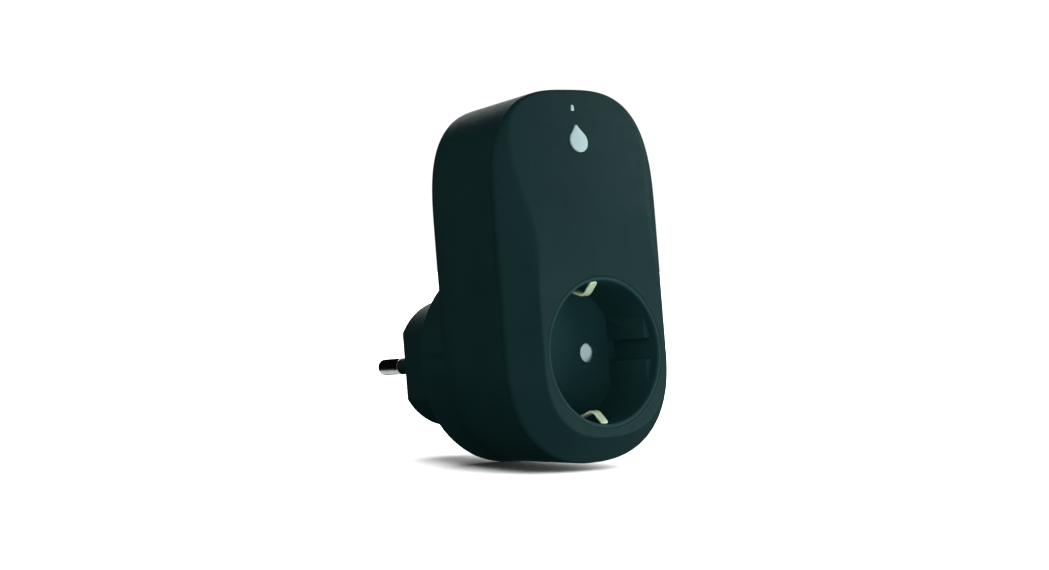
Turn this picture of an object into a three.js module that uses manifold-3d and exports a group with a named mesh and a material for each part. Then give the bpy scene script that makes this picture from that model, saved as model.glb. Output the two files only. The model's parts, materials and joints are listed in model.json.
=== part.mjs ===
// Smart plug: a two-pin earthed (type F) adapter that switches the appliance plugged into its front.
//
// Frame, in millimetres: the origin is the centre of the plug's mating face, +Y points from there along
// the pins into the wall, +Z is up and the front faces -Y.
//
// The housing is three mouldings. A deep main housing carries the side walls and a round drum at its
// lower back, a crowned front cover closes it at the ridge, and a plug base with the boss and the pins
// closes the drum. A socket insert sits in the front cover, with a turning shutter and the contacts
// behind it. The upper chamber holds a power board at the back and a control board at the front.

import * as THREE from 'three';
import { mergeVertices } from 'three/addons/utils/BufferGeometryUtils.js';
import Module from 'manifold-3d';

const wasm = await Module();
wasm.setup();

// ---------------------------------------------------------------- driving dimensions

// Plug side, standard two-pin earthed plug
const PIN_SPACING = 19;
const PIN_RADIUS = 2.4;
const PIN_LENGTH = 19;
const SLEEVE_LENGTH = 8.8;
const SLEEVE_WALL = 0.4;
const BOSS_RADIUS = 18.5;
const BOSS_HALF_FLAT = 15.8;
const BOSS_LENGTH = 24;
const BOSS_CHAMFER = 0.8;
const BOSS_FACE_THICKNESS = 4;
const HOLLOW_RADIUS = 15.6;
const HOLLOW_HALF_WIDTH = 12;
const EARTH_SLOT_FLOOR = 17;
const EARTH_SLOT_WIDTH = 5.6;
const EARTH_SLOT_FRONT = -21.8;
const EARTH_SLOT_BACK = -2.4;
const PIN_TAIL = 7.6;
const PIN_TIP_ROUND = 1.5;

// Housing
const HALF_WIDTH = 29.2;
const DRUM_DEPTH = 11;
const BODY_DEPTH = 28;
const TOP_AT_RIDGE = 72.8;
const TOP_AT_BACK = 70.6;
const BOTTOM_AT_RIDGE = -30;
const UPPER_CENTRE = 37.2;
const LOWER_CENTRE_AT_RIDGE = -1.5;
const UPPER_POWER = 3;
const LOWER_POWER_AT_RIDGE = 2.35;
const WALL = 2.2;
const SEAM = 0.3;
const FIT = 0.1;
const SIDE_STEPS = 6;
const QUARTER_STEPS = 12;

// Front face
const LIP_RISE = 7;
const SLOPE_START = 21;
const SLOPE_EASE = 22;
const UPPER_SLOPE = 0.1625;
const CROWN = 0.0018;
const RIDGE_ROUND = 0.91;
const BEVEL_SOFT_LOW = 0.4;
const BEVEL_SOFT_HIGH = 5;
const CREASE_FADE_START = 14;
const CREASE_FADE_END = 46;
const COVER_SKIRT = 1.7;
const TONGUE_OUTER_INSET = WALL + SEAM;
const TONGUE_INNER_INSET = TONGUE_OUTER_INSET + 1.3;
const TONGUE_LENGTH = 3;

// Socket recess
const RECESS_RADIUS = 19.5;
const RECESS_DEPTH = 18;
const INSERT_WALL = 1.5;
const INSERT_FLOOR = 1.2;
const LIP_RADIUS = 20.7;
const LIP_ROUND = 0.7;
const COVER_BORE = LIP_RADIUS + SEAM;
const SOCKET_HOLE_RADIUS = 2.75;
const PAD_FACE = 17.3;
const PAD_SETBACK = 2.7;
const PAD_GROOVE = 5.7;
const CLIP_NOTCH_DEPTH = 0.8;
const CLIP_NOTCH_SETBACK = 1.3;

// Planes along Y that the parts share
const Y_BASE = -BOSS_LENGTH;
const Y_BACK = Y_BASE - DRUM_DEPTH;
const Y_RIDGE = Y_BACK - BODY_DEPTH;
const Y_LIP = Y_RIDGE - LIP_RISE;
const Y_FLOOR = Y_LIP + RECESS_DEPTH;
const Y_FLOOR_BACK = Y_FLOOR + INSERT_FLOOR;
const Y_COVER_EDGE = Y_RIDGE + COVER_SKIRT;
const Y_BACK_INNER = Y_BACK - WALL;

// Screws that hold the plug base and the front cover together
const PILLAR_REACH = 23.6;
const PILLAR_RADIUS = 2.1;
const UPPER_PILLAR_FRONT = -68.4;
const LOWER_PILLAR_FRONT = -66.9;
const SCREW_SHANK_RADIUS = 1.1;
const SCREW_HEAD_RADIUS = 2;
const SCREW_HEAD_HEIGHT = 1.1;
const SCREW_LENGTH = 12;
const BASE_PLATE = 2.2;
const BASE_RADIUS = 26.9;
const LEDGE_RADIUS = 26;
const LEDGE_DEPTH = 1.8;

// Shutter, contacts and earth parts
const SHUTTER_THICKNESS = 2.6;
const SHUTTER_BLADE_RADIUS = 3.5;
const SHUTTER_ARM_WIDTH = 4.6;
const SHUTTER_HUB_RADIUS = 3.4;
const SHUTTER_PIN_RADIUS = 1.3;
const RAMP_ANGLE = 0.24;
const RAMP_DEPTH = 1.6;
const RAMP_OFFSET = 1.6;
const CARRIER_HALF_WIDTH = 15;
const CARRIER_HALF_HEIGHT = 6.5;
const CARRIER_FLANGE_RADIUS = 17.4;
const CARRIER_FLANGE = 1.4;
const CARRIER_SCREW_REACH = 13.5;
const Y_CARRIER = -46.2;
const Y_CARRIER_BACK = -32;
const CONTACT_OUTER = 3.3;
const CONTACT_INNER = 2.45;
const STRIP = 0.8;
const CLIP_WIDTH = 2.3;
const EARTH_BRIDGE_HALF_HEIGHT = 19.4;
const Y_EARTH_BRIDGE = -29;

// Boards, button and light
const Y_POWER_BOARD = -39.8;
const POWER_BOARD_THICKNESS = 1.6;
const POWER_BOARD_BOTTOM = 30;
const Y_CONTROL_BOARD = -56.8;
const CONTROL_BOARD_THICKNESS = 1.2;
const CONTROL_BOARD_BOTTOM = 43;
const BOARD_INSET = 4.2;
const BUTTON_Z = 58.85;
const BUTTON_ROUND_RADIUS = 3.1;
const BUTTON_HEIGHT = 7.7;
const BUTTON_PROUD = 0.35;
const BUTTON_GAP = 0.2;
const LIGHT_Z = 67.45;
const LIGHT_WIDTH = 1.2;
const LIGHT_HEIGHT = 1.7;
const LIGHT_PROUD = 0.1;

// ---------------------------------------------------------------- materials

function plastic(name, colour, roughness = 0.55) {
  return new THREE.MeshStandardMaterial({ name, color: colour, roughness, metalness: 0 });
}

function metal(name, colour, roughness = 0.3) {
  return new THREE.MeshStandardMaterial({ name, color: colour, roughness, metalness: 1 });
}

const housingPlastic = () => plastic('housing_plastic', '#1c3436');
const insertPlastic = () => plastic('insert_plastic', '#1b3436', 0.5);
const sleevePlastic = () => plastic('sleeve_plastic', '#101c1b', 0.45);
const carrierPlastic = () => plastic('carrier_plastic', '#3b4144', 0.6);
const shutterPlastic = () => plastic('shutter_plastic', '#9fc3c8', 0.45);
const buttonPlastic = () => plastic('button_plastic', '#b6d3d6', 0.35);
const lightGuidePlastic = () => plastic('light_guide_plastic', '#6fa09c', 0.25);
const boardLaminate = () => plastic('board_laminate', '#1d5a38', 0.5);
const blackComponent = () => plastic('black_component', '#151617', 0.5);
const relayPlastic = () => plastic('relay_plastic', '#22262a', 0.45);
const capacitorSleeve = () => plastic('capacitor_sleeve', '#22262c', 0.35);
const filmCapacitorPlastic = () => plastic('film_capacitor_plastic', '#c7a63c', 0.5);
const varistorCoating = () => plastic('varistor_coating', '#2c5f9e', 0.5);
const coilTape = () => plastic('coil_tape', '#d7b545', 0.6);
const diodeLens = () => plastic('diode_lens', '#dfe6dc', 0.2);
const nickel = () => metal('nickel', '#c9ccc8', 0.25);
const springBrass = () => metal('spring_brass', '#c9c58f', 0.35);
const contactBrass = () => metal('contact_brass', '#c3a35a', 0.35);
const copperStrap = () => metal('copper_strap', '#b87546', 0.4);
const screwSteel = () => metal('screw_steel', '#8c9093', 0.35);
const shieldTin = () => metal('shield_tin', '#b9bcbc', 0.4);
const fuseCase = () => metal('fuse_case', '#b9b2a0', 0.4);

// ---------------------------------------------------------------- geometry tools

const lerp = THREE.MathUtils.lerp;
const smoothstep = THREE.MathUtils.smoothstep;

// Keeps positions only, merges shared corners and drops triangles without area.
function cleaned(geometry) {
  const bare = geometry.clone();
  bare.deleteAttribute('normal');
  bare.deleteAttribute('uv');
  bare.clearGroups();
  const merged = mergeVertices(bare, 1e-4);
  const index = merged.index.array;
  const kept = [];
  for (let i = 0; i < index.length; i += 3) {
    const [a, b, c] = [index[i], index[i + 1], index[i + 2]];
    if (a !== b && b !== c && c !== a) kept.push(a, b, c);
  }
  merged.setIndex(kept);
  return merged;
}

function signedVolume(geometry) {
  const position = geometry.attributes.position;
  const index = geometry.index.array;
  const [a, b, c] = [new THREE.Vector3(), new THREE.Vector3(), new THREE.Vector3()];
  let volume = 0;
  for (let i = 0; i < index.length; i += 3) {
    a.fromBufferAttribute(position, index[i]);
    b.fromBufferAttribute(position, index[i + 1]);
    c.fromBufferAttribute(position, index[i + 2]);
    volume += a.dot(b.cross(c)) / 6;
  }
  return volume;
}

// Turns every face outwards.
function facingOut(geometry) {
  const result = cleaned(geometry);
  if (signedVolume(result) < 0) {
    result.setIndex(Array.from(result.index.array).reverse());
  }
  return result;
}

function toSolid(geometry) {
  const closed = facingOut(geometry);
  const vertProperties = new Float32Array(closed.attributes.position.array);
  const triVerts = new Uint32Array(closed.index.array);
  return new wasm.Manifold(new wasm.Mesh({ numProp: 3, vertProperties, triVerts }));
}

function toGeometry(solid) {
  const mesh = solid.getMesh();
  const geometry = new THREE.BufferGeometry();
  geometry.setAttribute('position', new THREE.BufferAttribute(new Float32Array(mesh.vertProperties), 3));
  geometry.setIndex(Array.from(mesh.triVerts));
  return geometry;
}

// Adds the first list to a base shape, then cuts the second list away.
function combine(base, additions, cuts = []) {
  let solid = toSolid(base);
  for (const shape of additions) solid = solid.add(toSolid(shape));
  for (const shape of cuts) solid = solid.subtract(toSolid(shape));
  return toGeometry(solid);
}

function overlapOf(first, second) {
  return toGeometry(toSolid(first).intersect(toSolid(second)));
}

function makeMesh(name, geometry, material, position = [0, 0, 0]) {
  const closed = facingOut(geometry);
  closed.computeVertexNormals();
  const mesh = new THREE.Mesh(closed, material);
  mesh.name = name;
  mesh.position.set(...position);
  return mesh;
}

// Extrudes a shape drawn in X and Z from one Y to another.
function slab(shape, yFrom, yTo, curveSegments = 12) {
  const geometry = new THREE.ExtrudeGeometry(shape, {
    depth: yTo - yFrom,
    bevelEnabled: false,
    curveSegments,
  });
  geometry.rotateX(Math.PI / 2);
  geometry.translate(0, yTo, 0);
  return geometry;
}

// Turns a list of [radius, y] points around the Y axis.
function turned(profile, segments = 24) {
  return new THREE.LatheGeometry(profile.map(([radius, y]) => new THREE.Vector2(radius, y)), segments);
}

// A round bar along Y, on the axis through x and z.
function rod(radius, yFrom, yTo, x = 0, z = 0, segments = 20) {
  const geometry = new THREE.CylinderGeometry(radius, radius, yTo - yFrom, segments);
  geometry.translate(x, (yFrom + yTo) / 2, z);
  return geometry;
}

function block(xSize, ySize, zSize, x = 0, y = 0, z = 0) {
  const geometry = new THREE.BoxGeometry(xSize, ySize, zSize);
  geometry.translate(x, y, z);
  return geometry;
}

function roundedRectangle(width, height, radius) {
  const [x, z] = [width / 2, height / 2];
  const shape = new THREE.Shape();
  shape.moveTo(x, -z + radius);
  shape.lineTo(x, z - radius);
  shape.absarc(x - radius, z - radius, radius, 0, Math.PI / 2);
  shape.lineTo(-x + radius, z);
  shape.absarc(-x + radius, z - radius, radius, Math.PI / 2, Math.PI);
  shape.lineTo(-x, -z + radius);
  shape.absarc(-x + radius, -z + radius, radius, Math.PI, 1.5 * Math.PI);
  shape.lineTo(x - radius, -z);
  shape.absarc(x - radius, -z + radius, radius, 1.5 * Math.PI, 2 * Math.PI);
  return shape;
}

function circle(radius, x = 0, z = 0) {
  return new THREE.Shape().absarc(x, z, radius, 0, 2 * Math.PI);
}

// Joins rings of equal length into a skin. A closed loft runs from the last ring back to the first,
// and an open one is capped at both ends.
function loft(rings, closed) {
  const count = rings[0].length;
  const positions = rings.flat().flatMap((point) => [point.x, point.y, point.z]);
  const index = [];
  const spans = closed ? rings.length : rings.length - 1;
  for (let r = 0; r < spans; r += 1) {
    const next = (r + 1) % rings.length;
    for (let i = 0; i < count; i += 1) {
      const j = (i + 1) % count;
      const [a, b] = [r * count + i, r * count + j];
      const [c, d] = [next * count + i, next * count + j];
      index.push(a, c, b, b, c, d);
    }
  }
  if (!closed) {
    for (const [ring, flip] of [[0, false], [rings.length - 1, true]]) {
      const centre = new THREE.Vector3();
      for (const point of rings[ring]) centre.addScaledVector(point, 1 / count);
      const tip = positions.length / 3;
      positions.push(centre.x, centre.y, centre.z);
      for (let i = 0; i < count; i += 1) {
        const [a, b] = [ring * count + i, ring * count + ((i + 1) % count)];
        index.push(...(flip ? [tip, b, a] : [tip, a, b]));
      }
    }
  }
  const geometry = new THREE.BufferGeometry();
  geometry.setAttribute('position', new THREE.Float32BufferAttribute(positions, 3));
  geometry.setIndex(index);
  return geometry;
}

// Outline of a bent strip of even thickness, drawn along its middle line.
function stripOutline(points, thickness) {
  const half = thickness / 2;
  const line = points.map(([u, v]) => new THREE.Vector2(u, v));
  const left = [];
  const right = [];
  for (let i = 0; i < line.length; i += 1) {
    const before = line[Math.max(i - 1, 0)];
    const after = line[Math.min(i + 1, line.length - 1)];
    const incoming = line[i].clone().sub(i > 0 ? before : line[i].clone().multiplyScalar(2).sub(after));
    const outgoing = (i < line.length - 1 ? after.clone() : line[i].clone().multiplyScalar(2).sub(before))
      .sub(line[i]);
    incoming.normalize();
    outgoing.normalize();
    const mitre = incoming.clone().add(outgoing).normalize();
    const reach = half / mitre.dot(outgoing);
    const offset = new THREE.Vector2(-mitre.y, mitre.x).multiplyScalar(reach);
    left.push(line[i].clone().add(offset));
    right.push(line[i].clone().sub(offset));
  }
  return new THREE.Shape([...left, ...right.reverse()]);
}

// A metal strip bent in the Y-Z plane from a list of [y, z] points, of a given width along X.
function bentStrip(points, width, thickness = STRIP) {
  const geometry = new THREE.ExtrudeGeometry(stripOutline(points, thickness), {
    depth: width,
    bevelEnabled: false,
  });
  geometry.translate(0, 0, -width / 2);
  const axes = new THREE.Matrix4().makeBasis(
    new THREE.Vector3(0, 1, 0),
    new THREE.Vector3(0, 0, 1),
    new THREE.Vector3(1, 0, 0),
  );
  return geometry.applyMatrix4(axes);
}

const mirroredInZ = (points) => points.map(([y, z]) => [y, -z]);

// ---------------------------------------------------------------- body outline

// One quarter of a superellipse, from its side point towards its end point.
function quarterArc(centre, halfWidth, halfHeight, power, steps) {
  const points = [];
  for (let i = 0; i <= steps; i += 1) {
    const angle = (i / steps) * (Math.PI / 2);
    const x = halfWidth * Math.max(Math.cos(angle), 0) ** (2 / power);
    const z = centre + halfHeight * Math.sin(angle) ** (2 / power);
    points.push([x, z]);
  }
  return points;
}

// Cross-section of the body as [x, z] points, counter-clockwise seen from the front. depth is 0 at the
// ridge and 1 at the upper back face. The lower end turns from a squarish curve into the drum's circle.
function bodyOutline(depth, inset) {
  const halfWidth = HALF_WIDTH - inset;
  const top = lerp(TOP_AT_RIDGE, TOP_AT_BACK, depth) - inset;
  const bottom = lerp(BOTTOM_AT_RIDGE, -HALF_WIDTH, depth) + inset;
  const lowerCentre = lerp(LOWER_CENTRE_AT_RIDGE, 0, depth);
  const lowerPower = lerp(LOWER_POWER_AT_RIDGE, 2, depth);
  const upper = quarterArc(UPPER_CENTRE, halfWidth, top - UPPER_CENTRE, UPPER_POWER, QUARTER_STEPS);
  const lower = quarterArc(lowerCentre, halfWidth, bottom - lowerCentre, lowerPower, QUARTER_STEPS);
  const side = [];
  for (let i = 1; i < SIDE_STEPS; i += 1) {
    side.push([halfWidth, lerp(lowerCentre, UPPER_CENTRE, i / SIDE_STEPS)]);
  }
  const right = [...lower.slice(0, -1).reverse(), ...side, ...upper];
  const bottomPoint = lower[lower.length - 1];
  const left = right.slice(0, -1).reverse().map(([x, z]) => [-x, z]);
  return [bottomPoint, ...right, ...left];
}

const depthFraction = (y) => (y - Y_RIDGE) / BODY_DEPTH;

function bodyRing(y, inset) {
  const depth = Math.max(depthFraction(y), 0);
  return bodyOutline(depth, inset).map(([x, z]) => new THREE.Vector3(x, y, z));
}

// The part of the body outline above a height, as a flat shape for a board.
function boardShape(inset, lowestZ) {
  const points = bodyOutline(1, inset).filter(([, z]) => z > lowestZ + 1);
  const halfWidth = HALF_WIDTH - inset;
  const corners = [[halfWidth, lowestZ], ...points, [-halfWidth, lowestZ]];
  return new THREE.Shape(corners.map(([x, z]) => new THREE.Vector2(x, z)));
}

// ---------------------------------------------------------------- front cover

// How far the plateau falls back above the socket: it bends gently, then runs straight.
function plateauFall(z) {
  const above = Math.max(z - SLOPE_START, 0);
  if (above < SLOPE_EASE) return (UPPER_SLOPE * above * above) / (2 * SLOPE_EASE);
  return UPPER_SLOPE * (above - SLOPE_EASE / 2);
}

// How far the front face stands in front of the ridge. A 45 degree bevel climbs inwards from the edge
// and meets a plateau: flat around the socket, sloping back and crowned above it. The crease between
// them is sharp beside the socket and fades out towards the top.
function frontRise(x, z, edgeDistance) {
  const crown = CROWN * smoothstep(z, SLOPE_START, CREASE_FADE_END) * x * x;
  const plateau = LIP_RISE - plateauFall(z) - crown;
  const softness = lerp(BEVEL_SOFT_LOW, BEVEL_SOFT_HIGH, smoothstep(z, CREASE_FADE_START, CREASE_FADE_END));
  const blend = Math.min(softness, Math.max(plateau, 0.05));
  const closeness = Math.max(blend - Math.abs(edgeDistance - plateau), 0) / blend;
  return Math.min(edgeDistance, plateau) - (closeness * closeness * blend) / 4;
}

// Rings of the front face from the outline in to the bore, shifted back by a thickness.
function faceRings(inset, steps, thickness) {
  const outline = bodyOutline(0, inset);
  const count = outline.length;
  return steps.map((step) => outline.map(([x, z], i) => {
    const [nextX, nextZ] = outline[(i + 1) % count];
    const [lastX, lastZ] = outline[(i + count - 1) % count];
    const normal = new THREE.Vector2(nextZ - lastZ, lastX - nextX).normalize();
    const bore = new THREE.Vector2(x, z).setLength(COVER_BORE);
    const inward = new THREE.Vector2(x - bore.x, z - bore.y).multiplyScalar(step);
    const [px, pz] = [x - inward.x, z - inward.y];
    const y = Y_RIDGE - frontRise(px, pz, inset + inward.dot(normal)) + thickness;
    return new THREE.Vector3(px, y, pz);
  }));
}

// Teardrop outline: a round lower end whose flanks draw in to a small rounded tip.
function dropShape(grow = 0) {
  const radius = BUTTON_ROUND_RADIUS + grow;
  const tip = BUTTON_HEIGHT - BUTTON_ROUND_RADIUS + grow;
  const shoulder = Math.PI / 5;
  const [shoulderX, shoulderZ] = [radius * Math.cos(shoulder), radius * Math.sin(shoulder)];
  const tipHalf = 0.45 + grow / 2;
  const shape = new THREE.Shape();
  shape.moveTo(tipHalf, tip - 0.35);
  shape.quadraticCurveTo(tipHalf * 0.7, tip, 0, tip);
  shape.quadraticCurveTo(-tipHalf * 0.7, tip, -tipHalf, tip - 0.35);
  shape.quadraticCurveTo(-tipHalf - 0.7, tip - 1.3, -shoulderX, shoulderZ);
  shape.absarc(0, 0, radius, Math.PI - shoulder, 2 * Math.PI + shoulder);
  shape.quadraticCurveTo(tipHalf + 0.7, tip - 1.3, tipHalf, tip - 0.35);
  return shape;
}

const BUTTON_CENTRE_Z = BUTTON_Z - (BUTTON_HEIGHT - 2 * BUTTON_ROUND_RADIUS) / 2;
const frontY = (z) => Y_RIDGE - frontRise(0, z, TOP_AT_RIDGE - z);

function pillarPlaces() {
  const reach = PILLAR_REACH / Math.SQRT2;
  return [[reach, reach], [-reach, reach], [-reach, -reach], [reach, -reach]];
}

const BOARD_POST_PLACES = [[-14, 48], [14, 48]];
const BOARD_POST_RADIUS = 2.4;

function frontCover() {
  const ridge = bodyRing(Y_RIDGE, 0).map((corner, i) => {
    const inner = faceRings(RIDGE_ROUND / Math.SQRT2, [0], 0)[0][i];
    const outer = bodyRing(Y_RIDGE + RIDGE_ROUND, 0)[i];
    return corner.clone().multiplyScalar(0.5).addScaledVector(inner, 0.25).addScaledVector(outer, 0.25);
  });
  const rings = [
    bodyRing(Y_COVER_EDGE, 0),
    bodyRing(Y_RIDGE + RIDGE_ROUND, 0),
    ridge,
    ...faceRings(RIDGE_ROUND / Math.SQRT2, [0, 0.05, 0.11, 0.19, 0.3, 0.45, 0.65, 0.85, 1], 0),
    ...faceRings(TONGUE_INNER_INSET, [1, 0.7, 0.35, 0.12, 0], WALL),
    bodyRing(Y_COVER_EDGE + TONGUE_LENGTH, TONGUE_INNER_INSET),
    bodyRing(Y_COVER_EDGE + TONGUE_LENGTH, TONGUE_OUTER_INSET),
    bodyRing(Y_COVER_EDGE, TONGUE_OUTER_INSET),
  ];
  const pillarEnd = Y_BASE - BASE_PLATE - SEAM;
  const pillars = pillarPlaces().map(([x, z]) => {
    const pillarFront = z > 0 ? UPPER_PILLAR_FRONT : LOWER_PILLAR_FRONT;
    return rod(PILLAR_RADIUS, pillarFront, pillarEnd, x, z, 16);
  });
  const bores = pillarPlaces().map(([x, z]) => (
    rod(SCREW_SHANK_RADIUS + SEAM, pillarEnd - SCREW_LENGTH, pillarEnd + 1, x, z, 12)
  ));
  const postEnd = Y_CONTROL_BOARD - CONTROL_BOARD_THICKNESS / 2 - SEAM;
  const posts = BOARD_POST_PLACES.map(([x, z]) => rod(BOARD_POST_RADIUS, Y_RIDGE - 1.6, postEnd, x, z, 12));
  const postBores = BOARD_POST_PLACES.map(([x, z]) => rod(1, Y_RIDGE + 0.8, postEnd + 1, x, z, 10));
  const buttonWindow = slab(dropShape(BUTTON_GAP), Y_LIP, Y_RIDGE + 2, 5);
  buttonWindow.translate(0, 0, BUTTON_CENTRE_Z);
  const lightWindow = block(LIGHT_WIDTH + 0.2, 12, LIGHT_HEIGHT + 0.2, 0, Y_RIDGE, LIGHT_Z);
  const shell = combine(loft(rings, true), [...pillars, ...posts], [...bores, ...postBores]);
  return makeMesh('front_cover', combine(shell, [], [buttonWindow, lightWindow]), housingPlastic());
}

// ---------------------------------------------------------------- main housing

const POWER_POST_PLACES = [[-19.5, 57], [19.5, 57]];
const POWER_POST_RADIUS = 2.4;

function mainHousing() {
  const edge = Y_COVER_EDGE + SEAM;
  const outside = loft([
    bodyRing(edge, 0),
    bodyRing(Y_RIDGE + BODY_DEPTH / 2, 0),
    bodyRing(Y_BACK - 1.5, 0),
    bodyRing(Y_BACK - 0.45, 0.45),
    bodyRing(Y_BACK, 1.5),
  ], false);
  const inside = loft([
    bodyRing(edge - 1, WALL),
    bodyRing(Y_BACK_INNER, WALL),
  ], false);
  const drum = turned([
    [0, Y_BACK - 1.4],
    [HALF_WIDTH, Y_BACK - 1.4],
    [HALF_WIDTH, Y_BASE - 1.2],
    [HALF_WIDTH - 0.35, Y_BASE - 0.35],
    [HALF_WIDTH - 1.2, Y_BASE],
    [0, Y_BASE],
  ], 4 * QUARTER_STEPS);
  const ledgeFront = Y_BASE - BASE_PLATE - SEAM - LEDGE_DEPTH;
  const ledgeBack = Y_BASE - BASE_PLATE - SEAM;
  const drumInside = HALF_WIDTH - WALL;
  const drumBore = turned([
    [0, Y_BACK_INNER - 1],
    [drumInside, Y_BACK_INNER - 1],
    [drumInside, ledgeFront],
    [LEDGE_RADIUS, ledgeFront],
    [LEDGE_RADIUS, ledgeBack],
    [BASE_RADIUS + SEAM, ledgeBack],
    [BASE_RADIUS + SEAM, Y_BASE + 1],
    [0, Y_BASE + 1],
  ], 4 * QUARTER_STEPS);
  const boardBack = Y_POWER_BOARD + POWER_BOARD_THICKNESS / 2 + SEAM;
  const posts = POWER_POST_PLACES.map(([x, z]) => (
    rod(POWER_POST_RADIUS, boardBack, Y_BACK_INNER + 0.5, x, z, 12)
  ));
  const postBores = POWER_POST_PLACES.map(([x, z]) => rod(1, boardBack - 1, Y_BACK - 0.9, x, z, 10));
  const shell = combine(outside, [drum], [inside, drumBore]);
  return makeMesh('main_housing', combine(shell, posts, postBores), housingPlastic());
}

// ---------------------------------------------------------------- plug base and pins

function bossShape() {
  const halfChord = Math.sqrt(BOSS_RADIUS ** 2 - BOSS_HALF_FLAT ** 2);
  const start = Math.atan2(halfChord, BOSS_HALF_FLAT);
  const shape = new THREE.Shape();
  shape.absarc(0, 0, BOSS_RADIUS, start, Math.PI - start);
  shape.absarc(0, 0, BOSS_RADIUS, Math.PI + start, 2 * Math.PI - start);
  return shape;
}

function bossHollow() {
  const start = Math.acos(HOLLOW_HALF_WIDTH / HOLLOW_RADIUS);
  const shape = new THREE.Shape();
  shape.absarc(0, 0, HOLLOW_RADIUS, start, Math.PI - start);
  shape.absarc(0, 0, HOLLOW_RADIUS, Math.PI + start, 2 * Math.PI - start);
  return slab(shape, Y_BASE - BASE_PLATE - 1, -BOSS_FACE_THICKNESS, 10);
}

function plugBase() {
  const chamfered = turned([
    [0, Y_BASE - 0.5],
    [BOSS_RADIUS + 1, Y_BASE - 0.5],
    [BOSS_RADIUS + 1, -BOSS_CHAMFER - 1],
    [BOSS_RADIUS - BOSS_CHAMFER, 0],
    [0, 0],
  ], 48);
  const boss = overlapOf(slab(bossShape(), Y_BASE - 0.5, 0, 18), chamfered);
  const plate = rod(BASE_RADIUS, Y_BASE - BASE_PLATE, Y_BASE, 0, 0, 4 * QUARTER_STEPS);
  const pinBores = [-1, 1].map((side) => rod(PIN_RADIUS + FIT, -10, 1, (side * PIN_SPACING) / 2, 0, 20));
  const slotDepth = BOSS_RADIUS + 1 - EARTH_SLOT_FLOOR;
  const slotLength = EARTH_SLOT_BACK - EARTH_SLOT_FRONT;
  const slots = [-1, 1].flatMap((side) => {
    const slotZ = side * (EARTH_SLOT_FLOOR + slotDepth / 2);
    const windowY = EARTH_SLOT_FRONT + 1;
    return [
      block(EARTH_SLOT_WIDTH, slotLength, slotDepth, 0, (EARTH_SLOT_FRONT + EARTH_SLOT_BACK) / 2, slotZ),
      block(EARTH_SLOT_WIDTH, 2, 5, 0, windowY, side * 16),
    ];
  });
  const screwBores = pillarPlaces().flatMap(([x, z]) => [
    rod(SCREW_SHANK_RADIUS + SEAM, Y_BASE - BASE_PLATE - 1, Y_BASE + 1, x, z, 12),
    rod(SCREW_HEAD_RADIUS + SEAM, Y_BASE - SCREW_HEAD_HEIGHT - FIT, Y_BASE + 1, x, z, 16),
  ]);
  const geometry = combine(boss, [plate], [bossHollow(), ...pinBores, ...slots, ...screwBores]);
  return makeMesh('plug_base', geometry, housingPlastic());
}

function plugPin(name, side) {
  const core = PIN_RADIUS - SLEEVE_WALL - FIT;
  const tipStart = PIN_LENGTH - PIN_TIP_ROUND;
  const profile = [[0, -PIN_TAIL], [core, -PIN_TAIL], [core, SLEEVE_LENGTH + FIT]];
  profile.push([PIN_RADIUS, SLEEVE_LENGTH + FIT], [PIN_RADIUS, tipStart]);
  for (const share of [0.35, 0.65, 0.9]) {
    const angle = (share * Math.PI) / 2;
    const radius = PIN_RADIUS - PIN_TIP_ROUND * (1 - Math.cos(angle));
    profile.push([radius, tipStart + PIN_TIP_ROUND * Math.sin(angle)]);
  }
  profile.push([0, PIN_LENGTH]);
  return makeMesh(name, turned(profile, 20), nickel(), [(side * PIN_SPACING) / 2, 0, 0]);
}

function pinSleeve(name, side) {
  const inner = PIN_RADIUS - SLEEVE_WALL;
  const profile = [
    [inner, -BOSS_FACE_THICKNESS],
    [PIN_RADIUS, -BOSS_FACE_THICKNESS],
    [PIN_RADIUS, SLEEVE_LENGTH],
    [inner, SLEEVE_LENGTH],
    [inner, -BOSS_FACE_THICKNESS],
  ];
  return makeMesh(name, turned(profile, 20), sleevePlastic(), [(side * PIN_SPACING) / 2, 0, 0]);
}

function housingScrews() {
  return pillarPlaces().map(([x, z], i) => {
    const profile = [
      [0, -SCREW_LENGTH],
      [SCREW_SHANK_RADIUS, -SCREW_LENGTH + 1],
      [SCREW_SHANK_RADIUS, -SCREW_HEAD_HEIGHT],
      [SCREW_HEAD_RADIUS, -SCREW_HEAD_HEIGHT],
      [SCREW_HEAD_RADIUS, 0],
      [0, 0],
    ];
    return makeMesh(`housing_screw_${i + 1}`, turned(profile, 12), screwSteel(), [x, Y_BASE - FIT, z]);
  });
}

// ---------------------------------------------------------------- socket insert and shutter

// The part of a round beyond a straight chord at one side.
function segmentShape(side, radius) {
  const opening = Math.acos(PAD_FACE / radius);
  const middle = side > 0 ? 0 : Math.PI;
  return new THREE.Shape().absarc(0, 0, radius, middle - opening, middle + opening);
}

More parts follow.
